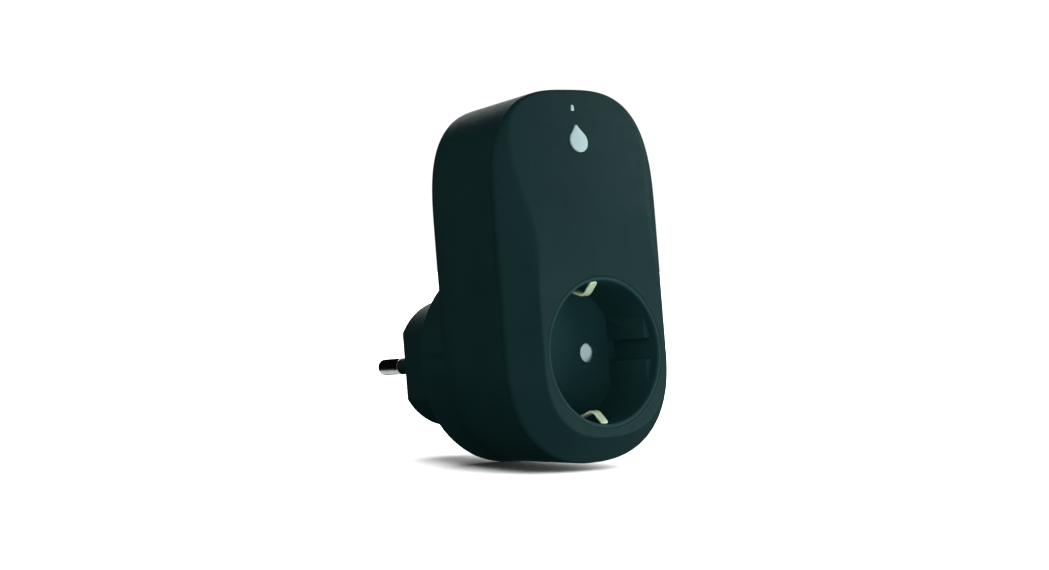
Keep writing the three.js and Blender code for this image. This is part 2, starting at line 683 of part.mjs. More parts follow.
function socketInsert() {
  const outer = RECESS_RADIUS + INSERT_WALL;
  const cup = turned([
    [0, Y_FLOOR],
    [RECESS_RADIUS, Y_FLOOR],
    [RECESS_RADIUS, Y_LIP + LIP_ROUND],
    [RECESS_RADIUS + 0.3 * LIP_ROUND, Y_LIP + 0.3 * LIP_ROUND],
    [RECESS_RADIUS + LIP_ROUND, Y_LIP],
    [LIP_RADIUS - 0.3, Y_LIP],
    [LIP_RADIUS, Y_LIP + 0.3],
    [LIP_RADIUS, Y_LIP + 3],
    [outer, Y_LIP + 3.2],
    [outer, Y_FLOOR_BACK],
    [0, Y_FLOOR_BACK],
  ], 56);
  // A flat pad along each side of the recess, parted by a groove as deep as the round wall.
  const padRoot = RECESS_RADIUS + 0.3;
  const groove = block(2 * padRoot, RECESS_DEPTH + 2, PAD_GROOVE, 0, Y_LIP + RECESS_DEPTH / 2, 0);
  const pads = [-1, 1].map((side) => {
    const pad = slab(segmentShape(side, padRoot), Y_LIP + PAD_SETBACK, Y_FLOOR + 0.5);
    return combine(pad, [], [groove]);
  });
  const screwBosses = [-1, 1].map((side) => (
    rod(2.4, Y_FLOOR_BACK - 0.5, Y_CARRIER - SEAM, 0, side * CARRIER_SCREW_REACH, 14)
  ));
  const pivot = rod(SHUTTER_PIN_RADIUS, Y_FLOOR_BACK - 0.5, Y_CARRIER + 2, 0, 0, 14);
  const holes = [-1, 1].map((side) => (
    rod(SOCKET_HOLE_RADIUS, Y_FLOOR - 1, Y_FLOOR_BACK + 1, (side * PIN_SPACING) / 2, 0, 24)
  ));
  const clipSlots = [-1, 1].map((side) => (
    block(CLIP_WIDTH + 0.8, INSERT_FLOOR + 2, 2.2, 0, Y_FLOOR + INSERT_FLOOR / 2, side * 18.4)
  ));
  // Above and below, a shallow notch in the wall leaves room for an earth clip's bent tip.
  const clipNotches = [-1, 1].map((side) => {
    const front = Y_LIP + CLIP_NOTCH_SETBACK;
    const [low, high] = [RECESS_RADIUS - 1, RECESS_RADIUS + CLIP_NOTCH_DEPTH];
    const middle = (side * (low + high)) / 2;
    return block(CLIP_WIDTH + 0.8, Y_FLOOR - front, high - low, 0, (front + Y_FLOOR) / 2, middle);
  });
  const screwBores = [-1, 1].map((side) => (
    rod(0.9, Y_FLOOR_BACK + 0.2, Y_CARRIER + 1, 0, side * CARRIER_SCREW_REACH, 10)
  ));
  const added = [...pads, ...screwBosses, pivot];
  const geometry = combine(cup, added, [...holes, ...clipSlots, ...clipNotches, ...screwBores]);
  return makeMesh('socket_insert', geometry, insertPlastic());
}

const Y_SHUTTER = Y_FLOOR_BACK + SEAM;

function shutter() {
  const reach = PIN_SPACING / 2;
  const arm = slab(roundedRectangle(2 * reach, SHUTTER_ARM_WIDTH, 1), 0, SHUTTER_THICKNESS, 4);
  const hub = rod(SHUTTER_HUB_RADIUS, 0, SHUTTER_THICKNESS, 0, 0, 20);
  const blades = [-1, 1].map((side) => rod(SHUTTER_BLADE_RADIUS, 0, SHUTTER_THICKNESS, side * reach, 0, 22));
  const bore = rod(SHUTTER_PIN_RADIUS + 0.15, -1, SHUTTER_THICKNESS + 1, 0, 0, 16);
  // Each blade's leading face slopes, so that two pins pressed in together turn it aside.
  const ramps = [-1, 1].map((side) => {
    const ramp = block(2 * SHUTTER_BLADE_RADIUS, RAMP_DEPTH, 2 * SHUTTER_BLADE_RADIUS);
    ramp.rotateX(side * RAMP_ANGLE);
    ramp.translate(side * (reach + RAMP_OFFSET), 0.05 - RAMP_DEPTH / 2, 0);
    return ramp;
  });
  return makeMesh('shutter', combine(arm, [hub, ...blades], [bore, ...ramps]), shutterPlastic(), [
    0, Y_SHUTTER, 0,
  ]);
}

// Coil around the shutter's pivot, in the middle opening of the contact carrier.
function shutterSpring() {
  const turns = 2.5;
  const radius = 2.1;
  const pitch = 0.6;
  const wire = 0.2;
  const points = [];
  for (let i = 0; i <= 12 * turns; i += 1) {
    const angle = (i / 12) * 2 * Math.PI;
    const y = (pitch * angle) / (2 * Math.PI);
    points.push(new THREE.Vector3(radius * Math.cos(angle), y, radius * Math.sin(angle)));
  }
  const path = new THREE.CatmullRomCurve3(points);
  const geometry = new THREE.ExtrudeGeometry(circle(wire), {
    steps: 12 * turns,
    curveSegments: 3,
    bevelEnabled: false,
    extrudePath: path,
  });
  return makeMesh('shutter_spring', geometry, nickel(), [0, Y_SHUTTER + SHUTTER_THICKNESS + 0.5, 0]);
}

// ---------------------------------------------------------------- contacts

function contactCarrier() {
  const core = slab(
    roundedRectangle(2 * CARRIER_HALF_WIDTH, 2 * CARRIER_HALF_HEIGHT, 2.5),
    Y_CARRIER,
    Y_CARRIER_BACK,
    4,
  );
  const flange = rod(CARRIER_FLANGE_RADIUS, Y_CARRIER, Y_CARRIER + CARRIER_FLANGE, 0, 0, 36);
  const channels = [-1, 1].map((side) => (
    rod(CONTACT_OUTER + 0.3, Y_CARRIER - 1, Y_CARRIER_BACK + 1, (side * PIN_SPACING) / 2, 0, 20)
  ));
  const middle = rod(2.9, Y_CARRIER - 1, Y_CARRIER + 4, 0, 0, 16);
  const screwBores = [-1, 1].map((side) => (
    rod(1.4, Y_CARRIER - 1, Y_CARRIER + CARRIER_FLANGE + 1, 0, side * CARRIER_SCREW_REACH, 12)
  ));
  const geometry = combine(core, [flange], [...channels, middle, ...screwBores]);
  return makeMesh('contact_carrier', geometry, carrierPlastic());
}

function carrierScrews() {
  return [['top', 1], ['bottom', -1]].map(([place, side]) => {
    const headTop = Y_CARRIER + CARRIER_FLANGE + FIT;
    const profile = [
      [0, headTop - 4.2],
      [0.65, headTop - 4.2],
      [0.65, headTop],
      [1.9, headTop],
      [1.9, headTop + 1.2],
      [0, headTop + 1.2],
    ];
    return makeMesh(`carrier_screw_${place}`, turned(profile, 10), screwSteel(), [
      0, 0, side * CARRIER_SCREW_REACH,
    ]);
  });
}

// Split tube that grips a plug pin, open along its top.
function socketContact(name, side) {
  const opening = Math.PI / 8;
  const start = Math.PI / 2 + opening;
  const end = Math.PI / 2 - opening + 2 * Math.PI;
  const shape = new THREE.Shape();
  shape.absarc(0, 0, CONTACT_OUTER, start, end);
  shape.absarc(0, 0, CONTACT_INNER, end, start, true);
  const geometry = slab(shape, Y_CARRIER + CARRIER_FLANGE + 0.3, Y_CARRIER_BACK + 0.2, 9);
  return makeMesh(name, geometry, contactBrass(), [(side * PIN_SPACING) / 2, 0, 0]);
}

// ---------------------------------------------------------------- earth parts

// Visible spring in the recess: it rises from the floor to a bend that presses on the plug and
// returns to the wall, and it runs straight back behind the floor.
const CLIP_LINE = [
  [-67.6, 19.4], [-66.9, 19], [-64, 16.1], [-63.2, 15.9], [-57.5, 17.7], [-52.6, 18.4],
  [-50, 18.6], [-30, 18.6],
];

function earthClips() {
  return [
    makeMesh('earth_clip_top', bentStrip(CLIP_LINE, CLIP_WIDTH), springBrass()),
    makeMesh('earth_clip_bottom', bentStrip(mirroredInZ(CLIP_LINE), CLIP_WIDTH), springBrass()),
  ];
}

function earthBridge() {
  const line = [[Y_EARTH_BRIDGE, -EARTH_BRIDGE_HALF_HEIGHT], [Y_EARTH_BRIDGE, EARTH_BRIDGE_HALF_HEIGHT]];
  return makeMesh('earth_bridge', bentStrip(line, 6), contactBrass());
}

// Flat strip in the boss's slot that meets the wall socket's earth clip.
const EARTH_STRIP_LINE = [[-3, 17.8], [-20.6, 17.8], [-20.6, 14.4], [-28.1, 14.4]];

function plugEarthStrips() {
  return [
    makeMesh('plug_earth_strip_top', bentStrip(EARTH_STRIP_LINE, 5), springBrass()),
    makeMesh('plug_earth_strip_bottom', bentStrip(mirroredInZ(EARTH_STRIP_LINE), 5), springBrass()),
  ];
}

// ---------------------------------------------------------------- supply straps

const STRAP_WIDTH = 3;
const STRAP_IN_X = 7.5;
const STRAP_OUT_X = 11.5;
const STRAP_IN_LINE = [[-8.3, -2.5], [-8.3, 10], [-30.3, 10], [-30.3, 20], [-38, 20], [-38, 33.5]];
const STRAP_OUT_LINE = [[-31, -3], [-31, 8.2], [-38.4, 8.2], [-38.4, 28], [-41.4, 28], [-41.4, 32.4]];

function supplyStraps() {
  const strap = (name, line, x) => makeMesh(name, bentStrip(line, STRAP_WIDTH), copperStrap(), [x, 0, 0]);
  return [
    strap('neutral_in_strap', STRAP_IN_LINE, -STRAP_IN_X),
    strap('live_in_strap', STRAP_IN_LINE, STRAP_IN_X),
    strap('neutral_out_strap', STRAP_OUT_LINE, -STRAP_OUT_X),
    strap('live_out_strap', STRAP_OUT_LINE, STRAP_OUT_X),
  ];
}

// ---------------------------------------------------------------- power board

const Y_POWER_FRONT = Y_POWER_BOARD - POWER_BOARD_THICKNESS / 2;

// Height above the power board's front face, turned into a Y position for a part's middle.
const onPowerBoard = (height) => Y_POWER_FRONT - 0.2 - height / 2;

function powerBoard() {
  const outline = boardShape(BOARD_INSET, POWER_BOARD_BOTTOM);
  const half = POWER_BOARD_THICKNESS / 2;
  const plate = slab(outline, Y_POWER_BOARD - half, Y_POWER_BOARD + half);
  const holes = POWER_POST_PLACES.map(([x, z]) => (
    rod(1.4, Y_POWER_BOARD - 2, Y_POWER_BOARD + 2, x, z, 12)
  ));
  return makeMesh('power_board', combine(plate, [], holes), boardLaminate());
}

function boardScrews(prefix, places, headFace, direction) {
  return places.map(([x, z], i) => {
    const profile = [
      [0, -3.6 * direction],
      [0.65, -3.6 * direction],
      [0.65, 0],
      [1.9, 0],
      [1.9, 1.2 * direction],
      [0, 1.2 * direction],
    ];
    return makeMesh(`${prefix}_screw_${i + 1}`, turned(profile, 10), screwSteel(), [x, headFace, z]);
  });
}

// A box-shaped part standing on the power board.
function boardBox(name, size, place, material) {
  const [width, height, depth] = size;
  const [x, z] = place;
  return makeMesh(name, block(width, height, depth), material, [x, onPowerBoard(height), z]);
}

function relay() {
  const height = 12.4;
  const bevelled = slab(roundedRectangle(29, 12.7, 1), -height / 2, height / 2, 3);
  return makeMesh('relay', bevelled, relayPlastic(), [0, onPowerBoard(height), 40.2]);
}

function transformer() {
  const height = 11;
  const core = block(13, height, 5);
  const winding = slab(roundedRectangle(9.5, 12.5, 2), -height / 2 + 1.6, height / 2 - 1.6, 4);
  return makeMesh('transformer', combine(core, [winding]), coilTape(), [8.5, onPowerBoard(height), 55.6]);
}

function electrolytic(name, x, z) {
  const height = 12;
  const profile = [
    [0, -height / 2],
    [3.6, -height / 2],
    [4, -height / 2 + 0.5],
    [4, height / 2 - 1.8],
    [3.7, height / 2 - 1.4],
    [4, height / 2 - 1],
    [4, height / 2],
    [0, height / 2],
  ];
  return makeMesh(name, turned(profile, 18), capacitorSleeve(), [x, onPowerBoard(height), z]);
}

function varistor() {
  const disc = new THREE.CylinderGeometry(4, 4, 3.2, 18);
  disc.rotateZ(Math.PI / 2);
  return makeMesh('varistor', disc, varistorCoating(), [-21.5, onPowerBoard(8), 49.5]);
}

function thermalFuse() {
  const body = new THREE.CylinderGeometry(1.4, 1.4, 8, 12);
  body.rotateZ(Math.PI / 2);
  return makeMesh('thermal_fuse', body, fuseCase(), [18.5, onPowerBoard(2.8), 34.5]);
}

// Flat resistor strip bridging two feet; the voltage across it measures the load current.
function shuntResistor() {
  const strip = bentStrip([[0, -4], [-1.8, -3.2], [-1.8, 3.2], [0, 4]], 2.6, 0.6);
  return makeMesh('shunt_resistor', strip, copperStrap(), [-19, Y_POWER_FRONT - 0.6, 38]);
}

function powerParts() {
  return [
    powerBoard(),
    ...boardScrews('power_board', POWER_POST_PLACES, Y_POWER_FRONT - FIT, -1),
    relay(),
    transformer(),
    electrolytic('capacitor_1', -3.5, 53),
    electrolytic('capacitor_2', -3.5, 62),
    boardBox('filter_capacitor', [5, 10, 12], [-13, 54.5], filmCapacitorPlastic()),
    varistor(),
    boardBox('bridge_rectifier', [5, 2.4, 4.4], [8, 64.6], blackComponent()),
    boardBox('metering_chip', [4, 1.5, 5], [21.5, 46], blackComponent()),
    thermalFuse(),
    shuntResistor(),
  ];
}

// ---------------------------------------------------------------- control board

const Y_CONTROL_FRONT = Y_CONTROL_BOARD - CONTROL_BOARD_THICKNESS / 2;
const Y_CONTROL_BACK = Y_CONTROL_BOARD + CONTROL_BOARD_THICKNESS / 2;
const SWITCH_HEIGHT = 2.5;
const PLUNGER_RADIUS = 1.7;
const PLUNGER_PROUD = 0.7;

function controlBoard() {
  const outline = boardShape(BOARD_INSET, CONTROL_BOARD_BOTTOM);
  const plate = slab(outline, Y_CONTROL_FRONT, Y_CONTROL_BACK);
  const holes = BOARD_POST_PLACES.map(([x, z]) => (
    rod(1.3, Y_CONTROL_BOARD - 2, Y_CONTROL_BOARD + 2, x, z, 12)
  ));
  return makeMesh('control_board', combine(plate, [], holes), boardLaminate());
}

function tactSwitch() {
  const shape = roundedRectangle(6, 6, 0.5);
  shape.holes.push(new THREE.Path().absarc(0, 0, PLUNGER_RADIUS + 0.2, 0, 2 * Math.PI));
  const body = slab(shape, Y_CONTROL_FRONT - 0.1 - SWITCH_HEIGHT, Y_CONTROL_FRONT - 0.1, 5);
  return makeMesh('tact_switch', body, blackComponent(), [0, 0, BUTTON_CENTRE_Z]);
}

const Y_PLUNGER_FRONT = Y_CONTROL_FRONT - 0.1 - SWITCH_HEIGHT - PLUNGER_PROUD;

function tactPlunger() {
  const length = PLUNGER_PROUD + SWITCH_HEIGHT - 0.8;
  const body = rod(PLUNGER_RADIUS, Y_PLUNGER_FRONT, Y_PLUNGER_FRONT + length, 0, 0, 16);
  return makeMesh('tact_plunger', body, blackComponent(), [0, 0, BUTTON_CENTRE_Z]);
}

// The drop-shaped button: a cap that fills the window and a wider flange that keeps it inside.
function powerButton() {
  const coverInside = frontY(BUTTON_Z) + WALL;
  const flangeFront = coverInside + 1.1;
  const cap = slab(dropShape(), frontY(BUTTON_Z) - BUTTON_PROUD, flangeFront + 0.2, 5);
  const flange = slab(dropShape(1.2), flangeFront, Y_PLUNGER_FRONT - 0.1, 5);
  return makeMesh('power_button', combine(cap, [flange]), buttonPlastic(), [0, 0, BUTTON_CENTRE_Z]);
}

function lightGuide() {
  const front = frontY(LIGHT_Z) - LIGHT_PROUD;
  const back = Y_CONTROL_FRONT - 1.2;
  const guide = block(LIGHT_WIDTH, back - front, LIGHT_HEIGHT, 0, (front + back) / 2, 0);
  const collar = block(LIGHT_WIDTH + 1.6, 0.8, LIGHT_HEIGHT, 0, back - 0.6, -0.6);
  return makeMesh('light_guide', combine(guide, [collar]), lightGuidePlastic(), [0, 0, LIGHT_Z]);
}

function statusLed() {
  return makeMesh('status_led', block(2, 0.8, 1.2), diodeLens(), [0, Y_CONTROL_FRONT - 0.5, LIGHT_Z - 0.6]);
}

function radioModule() {
  return [
    makeMesh('radio_module', block(18, 0.8, 14), boardLaminate(), [0, Y_CONTROL_BACK + 0.6, 56]),
    makeMesh('radio_shield', block(12, 2, 11), shieldTin(), [-2, Y_CONTROL_BACK + 2.1, 55.5]),
  ];
}

// Plug-in strip between the two boards.
function boardHeader() {
  const from = Y_CONTROL_BACK + 0.2;
  const to = Y_POWER_FRONT - 0.2;
  const strip = block(12, to - from, 2);
  return makeMesh('board_header', strip, blackComponent(), [0, (from + to) / 2, 47.7]);
}

function controlParts() {
  return [
    controlBoard(),
    ...boardScrews('control_board', BOARD_POST_PLACES, Y_CONTROL_BACK + FIT, 1),
    tactSwitch(),
    tactPlunger(),
    powerButton(),
    lightGuide(),
    statusLed(),
    ...radioModule(),
    boardHeader(),
  ];
}

// ---------------------------------------------------------------- assembly

function section(name, parts) {
  const group = new THREE.Group();
  group.name = name;
  group.add(...parts);
  return group;
}

const smartPlug = section('smart_plug', [
  section('housing', [frontCover(), mainHousing(), plugBase(), ...housingScrews()]),
  section('plug', [
    plugPin('pin_left', -1),
    plugPin('pin_right', 1),
    pinSleeve('pin_sleeve_left', -1),
    pinSleeve('pin_sleeve_right', 1),
  ]),
  section('socket', [
    socketInsert(),
    shutter(),
    shutterSpring(),
    contactCarrier(),
    ...carrierScrews(),
    socketContact('contact_left', -1),
    socketContact('contact_right', 1),
  ]),
  section('earth', [...earthClips(), earthBridge(), ...plugEarthStrips()]),
  section('electronics', [...supplyStraps(), ...powerParts(), ...controlParts()]),
]);

export default smartPlug;
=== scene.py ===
# Smart plug: the looks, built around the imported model. Shapes are worked out in millimetres in the
# model's frame, with +Y into the wall, +Z up and the front facing -Y. Meshes are made in metres.

import json
import math

import bmesh
import bpy
from mathutils import Matrix, Vector

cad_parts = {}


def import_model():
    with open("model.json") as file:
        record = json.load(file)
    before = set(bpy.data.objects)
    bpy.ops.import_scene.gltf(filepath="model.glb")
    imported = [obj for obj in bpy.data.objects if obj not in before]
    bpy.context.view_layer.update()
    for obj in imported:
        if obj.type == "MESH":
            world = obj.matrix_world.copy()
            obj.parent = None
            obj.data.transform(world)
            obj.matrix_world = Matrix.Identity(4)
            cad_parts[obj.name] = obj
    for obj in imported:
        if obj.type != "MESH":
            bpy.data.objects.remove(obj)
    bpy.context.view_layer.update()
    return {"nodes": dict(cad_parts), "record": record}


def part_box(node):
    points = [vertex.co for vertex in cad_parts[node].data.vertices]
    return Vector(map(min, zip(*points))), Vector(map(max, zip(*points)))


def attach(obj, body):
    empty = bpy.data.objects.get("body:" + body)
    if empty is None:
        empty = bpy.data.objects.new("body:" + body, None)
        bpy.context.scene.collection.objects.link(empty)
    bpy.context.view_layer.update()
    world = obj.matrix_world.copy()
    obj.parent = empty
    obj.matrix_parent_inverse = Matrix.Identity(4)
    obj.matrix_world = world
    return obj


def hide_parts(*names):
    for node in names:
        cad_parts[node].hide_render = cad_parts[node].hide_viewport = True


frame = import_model()

MM = 0.001

# ------------------------------------------------------------------ camera

CAMERA_AZIMUTH = math.radians(-40.24)
CAMERA_ELEVATION = math.radians(-1.25)
CAMERA_ROLL = math.radians(-4.51)
CAMERA_DISTANCE = 0.6616
CAMERA_TARGET = Vector((0, -0.030, 0.015))
CAMERA_OFFSET = (0.00476, 0.00597)
LENS_MM = 79.62
SENSOR_MM = 36


def add_camera():
    """The viewing direction is an azimuth and an elevation; the roll then leans the picture."""
    back = Vector((
        math.sin(CAMERA_AZIMUTH) * math.cos(CAMERA_ELEVATION),
        -math.cos(CAMERA_AZIMUTH) * math.cos(CAMERA_ELEVATION),
        math.sin(CAMERA_ELEVATION),
    ))
    level_right = Vector((0, 0, 1)).cross(back).normalized()
    level_up = back.cross(level_right)
    turn = Matrix.Rotation(CAMERA_ROLL, 3, back)
    right, up = turn @ level_right, turn @ level_up
    data = bpy.data.cameras.new("camera")
    data.lens = LENS_MM
    data.sensor_width = SENSOR_MM
    data.clip_start, data.clip_end = 0.01, 20
    camera = bpy.data.objects.new("camera", data)
    bpy.context.collection.objects.link(camera)
    spot = CAMERA_TARGET + CAMERA_OFFSET[0] * right + CAMERA_OFFSET[1] * up + CAMERA_DISTANCE * back
    camera.matrix_world = Matrix.Translation(spot) @ Matrix((right, up, back)).transposed().to_4x4()
    bpy.context.scene.camera = camera
    bpy.context.view_layer.update()
    return camera


camera = add_camera()

# ------------------------------------------------------------------ sizes, from the frame


def box_mm(node):
    low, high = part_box(node)
    return low / MM, high / MM


cover_low, cover_high = box_mm("front_cover")
housing_low, housing_high = box_mm("main_housing")
insert_low = box_mm("socket_insert")[0]
pin_low, pin_high = box_mm("pin_left")
sleeve_low, sleeve_high = box_mm("pin_sleeve_left")
button_high = box_mm("power_button")[1]
guide_high = box_mm("light_guide")[1]

HALF_WIDTH = housing_high.x
LIP_Y = insert_low.y
LIP_RISE = 7.0
RIDGE_Y = LIP_Y + LIP_RISE
BASE_Y = housing_high.y
DRUM_DEPTH = 11.0
BACK_Y = BASE_Y - DRUM_DEPTH
TOP_AT_RIDGE = cover_high.z + 0.06
TOP_AT_BACK = TOP_AT_RIDGE - 2.0
BOTTOM_AT_RIDGE = cover_low.z - 0.04
UPPER_CENTRE = 37.2
LOWER_CENTRE_AT_RIDGE = -1.5
UPPER_POWER = 3.0
LOWER_POWER_AT_RIDGE = 2.35
SEAM_GAP = 0.07
COVER_EDGE_Y = housing_low.y - SEAM_GAP

SLOPE_START = 21.0
SLOPE_EASE = 22.0
UPPER_SLOPE = 0.1625
CROWN = 0.0018
RIDGE_ROUND = 0.91
BEVEL_SOFT_LOW = 0.4
BEVEL_SOFT_HIGH = 5.0
CREASE_FADE = (14.0, 46.0)

RECESS_RADIUS = 19.5
RECESS_DEPTH = 18.0
FLOOR_Y = LIP_Y + RECESS_DEPTH
LIP_RADIUS = 20.7
LIP_ROUND = 0.7
COVER_BORE = LIP_RADIUS + 0.04
PIN_SPACING = 19.0
SOCKET_HOLE_RADIUS = 2.75
BUTTON_ROUND_RADIUS = 3.1
BUTTON_HEIGHT = 7.7
BUTTON_Z = 58.85
LIGHT_Z = 67.45

QUARTER_STEPS = 90
SIDE_STEPS = 40

# ------------------------------------------------------------------ mesh tools


def make_object(name, vertices_mm, faces, material, sharp_angle=35):
    mesh = bpy.data.meshes.new(name)
    mesh.from_pydata([Vector(v) * MM for v in vertices_mm], [], faces)
    mesh.materials.append(material)
    model = bmesh.new()
    model.from_mesh(mesh)
    bmesh.ops.remove_doubles(model, verts=model.verts, dist=1e-7)
    bmesh.ops.recalc_face_normals(model, faces=model.faces)
    model.to_mesh(mesh)
    model.free()
    piece = bpy.data.objects.new(name, mesh)
    bpy.context.collection.objects.link(piece)
    smooth(piece, sharp_angle)
    return piece


def smooth(piece, sharp_angle=35):
    piece.data.shade_smooth()
    piece.data.set_sharp_from_angle(angle=math.radians(sharp_angle))


def loft(rings, closed=False, caps=False):
    """Faces between rings of equal length. A closed loft joins the last ring to the first."""
    count = len(rings[0])
    vertices = [point for ring in rings for point in ring]
    faces = []
    spans = len(rings) if closed else len(rings) - 1
    for r in range(spans):
        here, there = r * count, ((r + 1) % len(rings)) * count
        for i in range(count):
            j = (i + 1) % count
            faces.append((here + i, here + j, there + j, there + i))
    if caps:
        faces.append(tuple(range(count)))
        faces.append(tuple(reversed(range((len(rings) - 1) * count, len(rings) * count))))
    return vertices, faces


def turned(profile, segments=128, centre=(0, 0), closed=False):
    """Rings of a [radius, y] profile turned round an axis along Y through centre (x, z)."""
    angles = [2 * math.pi * i / segments for i in range(segments)]
    rings = [
        [(centre[0] + radius * math.cos(a), y, centre[1] + radius * math.sin(a)) for a in angles]
        for radius, y in profile
    ]
    return loft(rings, closed=closed, caps=not closed)


def arc(centre, radius, start, end, steps):
    """Points of an arc, as (u, v) pairs, from one angle in degrees to another."""
    angles = [math.radians(start + (end - start) * i / steps) for i in range(steps + 1)]
    return [(centre[0] + radius * math.cos(a), centre[1] + radius * math.sin(a)) for a in angles]


def apply_modifiers(piece):
    graph = bpy.context.evaluated_depsgraph_get()
    finished = bpy.data.meshes.new_from_object(piece.evaluated_get(graph))
    piece.modifiers.clear()
    piece.data = finished


def cut(piece, *cutters, operation="DIFFERENCE"):
    """Cuts the cutters out of the piece, or joins them to it, and removes them."""
    for cutter in cutters:
        step = piece.modifiers.new("cut", "BOOLEAN")
        step.operation = operation
        step.object = cutter
        step.solver = "EXACT"
    apply_modifiers(piece)
    for cutter in cutters:
        bpy.data.objects.remove(cutter)


def soften(piece, width_mm, segments=2, angle=30):
    """Adds a bevel that rounds every edge sharper than the angle."""
    bevel = piece.modifiers.new("soften", "BEVEL")
    bevel.width = width_mm * MM
    bevel.segments = segments
    bevel.limit_method = "ANGLE"
    bevel.angle_limit = math.radians(angle)
    bevel.harden_normals = False
    bevel.use_clamp_overlap = True


def slab(name, outline, y_from, y_to, material):
    """A flat outline of (x, z) points, extruded along Y."""
    rings = [[(x, y, z) for x, z in outline] for y in (y_from, y_to)]
    return make_object(name, *loft(rings, caps=True), material)


def block(name, low, high, material):
    outline = [(low[0], low[2]), (high[0], low[2]), (high[0], high[2]), (low[0], high[2])]
    return slab(name, outline, low[1], high[1], material)


def rod(name, radius, y_from, y_to, x, z, material, segments=64):
    solid = turned([(radius, y_from), (radius, y_to)], segments, (x, z))
    return make_object(name, *solid, material)


def lerp(a, b, t):
    return a + (b - a) * t


def smoothstep(value, low, high):
    t = min(max((value - low) / (high - low), 0), 1)
    return t * t * (3 - 2 * t)


def place(piece, *nodes, body="housing", slot):
    """The piece stands for the CAD nodes and moves with their body. The slot is not used."""
    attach(piece, body)
    if nodes:
        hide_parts(*nodes)
    return piece


# ------------------------------------------------------------------ materials


class Shader:
    """A Principled material with helpers for the noise behind its colour, gloss and grain."""

    def __init__(
        self, name, roughness, metallic=0.0, specular=0.5, tint=(1, 1, 1), coat=0.0,
        transmission=0.0, ior=1.45,
    ):
        self.material = bpy.data.materials.new(name)
        self.material.use_nodes = True
        self.tree = self.material.node_tree
        self.main = self.tree.nodes["Principled BSDF"]
        self.main.inputs["Metallic"].default_value = metallic
        self.main.inputs["Roughness"].default_value = roughness
        self.main.inputs["Specular IOR Level"].default_value = specular
        self.main.inputs["Specular Tint"].default_value = (*tint, 1)
        self.main.inputs["Coat Weight"].default_value = coat
        self.main.inputs["Transmission Weight"].default_value = transmission
        self.main.inputs["IOR"].default_value = ior
        self.place = self.tree.nodes.new("ShaderNodeTexCoord").outputs["Object"]

    def stretched(self, scale):
        """Object coordinates multiplied by a scale along each axis."""
        node = self.tree.nodes.new("ShaderNodeMapping")
        node.inputs["Scale"].default_value = scale
        self.tree.links.new(self.place, node.inputs["Vector"])
        return node.outputs["Vector"]

    def noise(self, size_mm, detail=2.0, vector=None):
        node = self.tree.nodes.new("ShaderNodeTexNoise")
        node.inputs["Scale"].default_value = 1 / (size_mm * MM)
        node.inputs["Detail"].default_value = detail
        self.tree.links.new(vector or self.place, node.inputs["Vector"])
        return node.outputs["Fac"]

    def cells(self, size_mm):
        node = self.tree.nodes.new("ShaderNodeTexVoronoi")
        node.inputs["Scale"].default_value = 1 / (size_mm * MM)
        self.tree.links.new(self.place, node.inputs["Vector"])
        return node.outputs["Distance"]

    def ramp(self, value, stops):
        node = self.tree.nodes.new("ShaderNodeValToRGB")
        elements = node.color_ramp.elements
        while len(elements) < len(stops):
            elements.new(0.5)
        for element, (position, colour) in zip(elements, stops):
            element.position = position
            element.color = (*colour, 1)
        self.tree.links.new(value, node.inputs["Fac"])
        return node.outputs["Color"]

    def spread(self, value, low, high):
        """Maps the middle of a noise, 0.3 to 0.7, to a range."""
        node = self.tree.nodes.new("ShaderNodeMapRange")
        node.inputs["From Min"].default_value = 0.3
        node.inputs["From Max"].default_value = 0.7
        node.inputs["To Min"].default_value = low
        node.inputs["To Max"].default_value = high
        self.tree.links.new(value, node.inputs["Value"])
        return node.outputs["Result"]

    def colour(self, output):
        self.tree.links.new(output, self.main.inputs["Base Color"])

    def gloss(self, output):
        self.tree.links.new(output, self.main.inputs["Roughness"])

    def relief(self, *layers):
        """Each layer is a height output and its depth in millimetres."""
        normal = None
        for height, depth_mm in layers:
            node = self.tree.nodes.new("ShaderNodeBump")
            node.inputs["Distance"].default_value = depth_mm * MM
            self.tree.links.new(height, node.inputs["Height"])
            if normal:
                self.tree.links.new(normal, node.inputs["Normal"])
            normal = node.outputs["Normal"]
        self.tree.links.new(normal, self.main.inputs["Normal"])


def linear(red, green, blue):
    """Display values from 0 to 255 as linear light."""
    def channel(value):
        value /= 255
        return value / 12.92 if value <= 0.04045 else ((value + 0.055) / 1.055) ** 2.4
    return tuple(channel(value) for value in (red, green, blue))


def shade(colour, factor):
    return tuple(value * factor for value in colour)


def plastic(
    name, colour, roughness=0.5, specular=0.3, tint=(1, 1, 1),
    grain_mm=0.16, grain_depth=0.006, drift=0.06,
):
    """Moulded plastic: fine spark-eroded grain, slow drift of the pigment and of the gloss."""
    look = Shader(name, roughness, specular=specular, tint=tint)
    clouds = look.noise(14, 3)
    flow = look.noise(3.2, 2)
    look.colour(look.ramp(clouds, [
        (0.32, shade(colour, 1 - drift)),
        (0.5, colour),
        (0.68, shade(colour, 1 + drift)),
    ]))
    look.gloss(look.spread(flow, roughness - 0.04, roughness + 0.04))
    look.relief((look.noise(grain_mm, 2), grain_depth), (look.noise(2.4, 1), grain_depth * 0.8))
    return look.material


def metal(
    name, colour, roughness=0.28, brushed=(1, 1, 1), grain_mm=0.5, grain_depth=0.003, metallic=1.0,
):
    """Metal with fine rolling or drawing marks along one axis, and faint dull patches."""
    look = Shader(name, roughness, metallic=metallic)
    marks = look.noise(grain_mm, 3, look.stretched(brushed))
    patches = look.noise(2.5, 3)
    look.colour(look.ramp(patches, [
        (0.3, shade(colour, 0.88)),
        (0.55, colour),
        (0.75, shade(colour, 1.06)),
    ]))
    look.gloss(look.spread(marks, roughness - 0.07, roughness + 0.09))
    look.relief((marks, grain_depth))
    return look.material


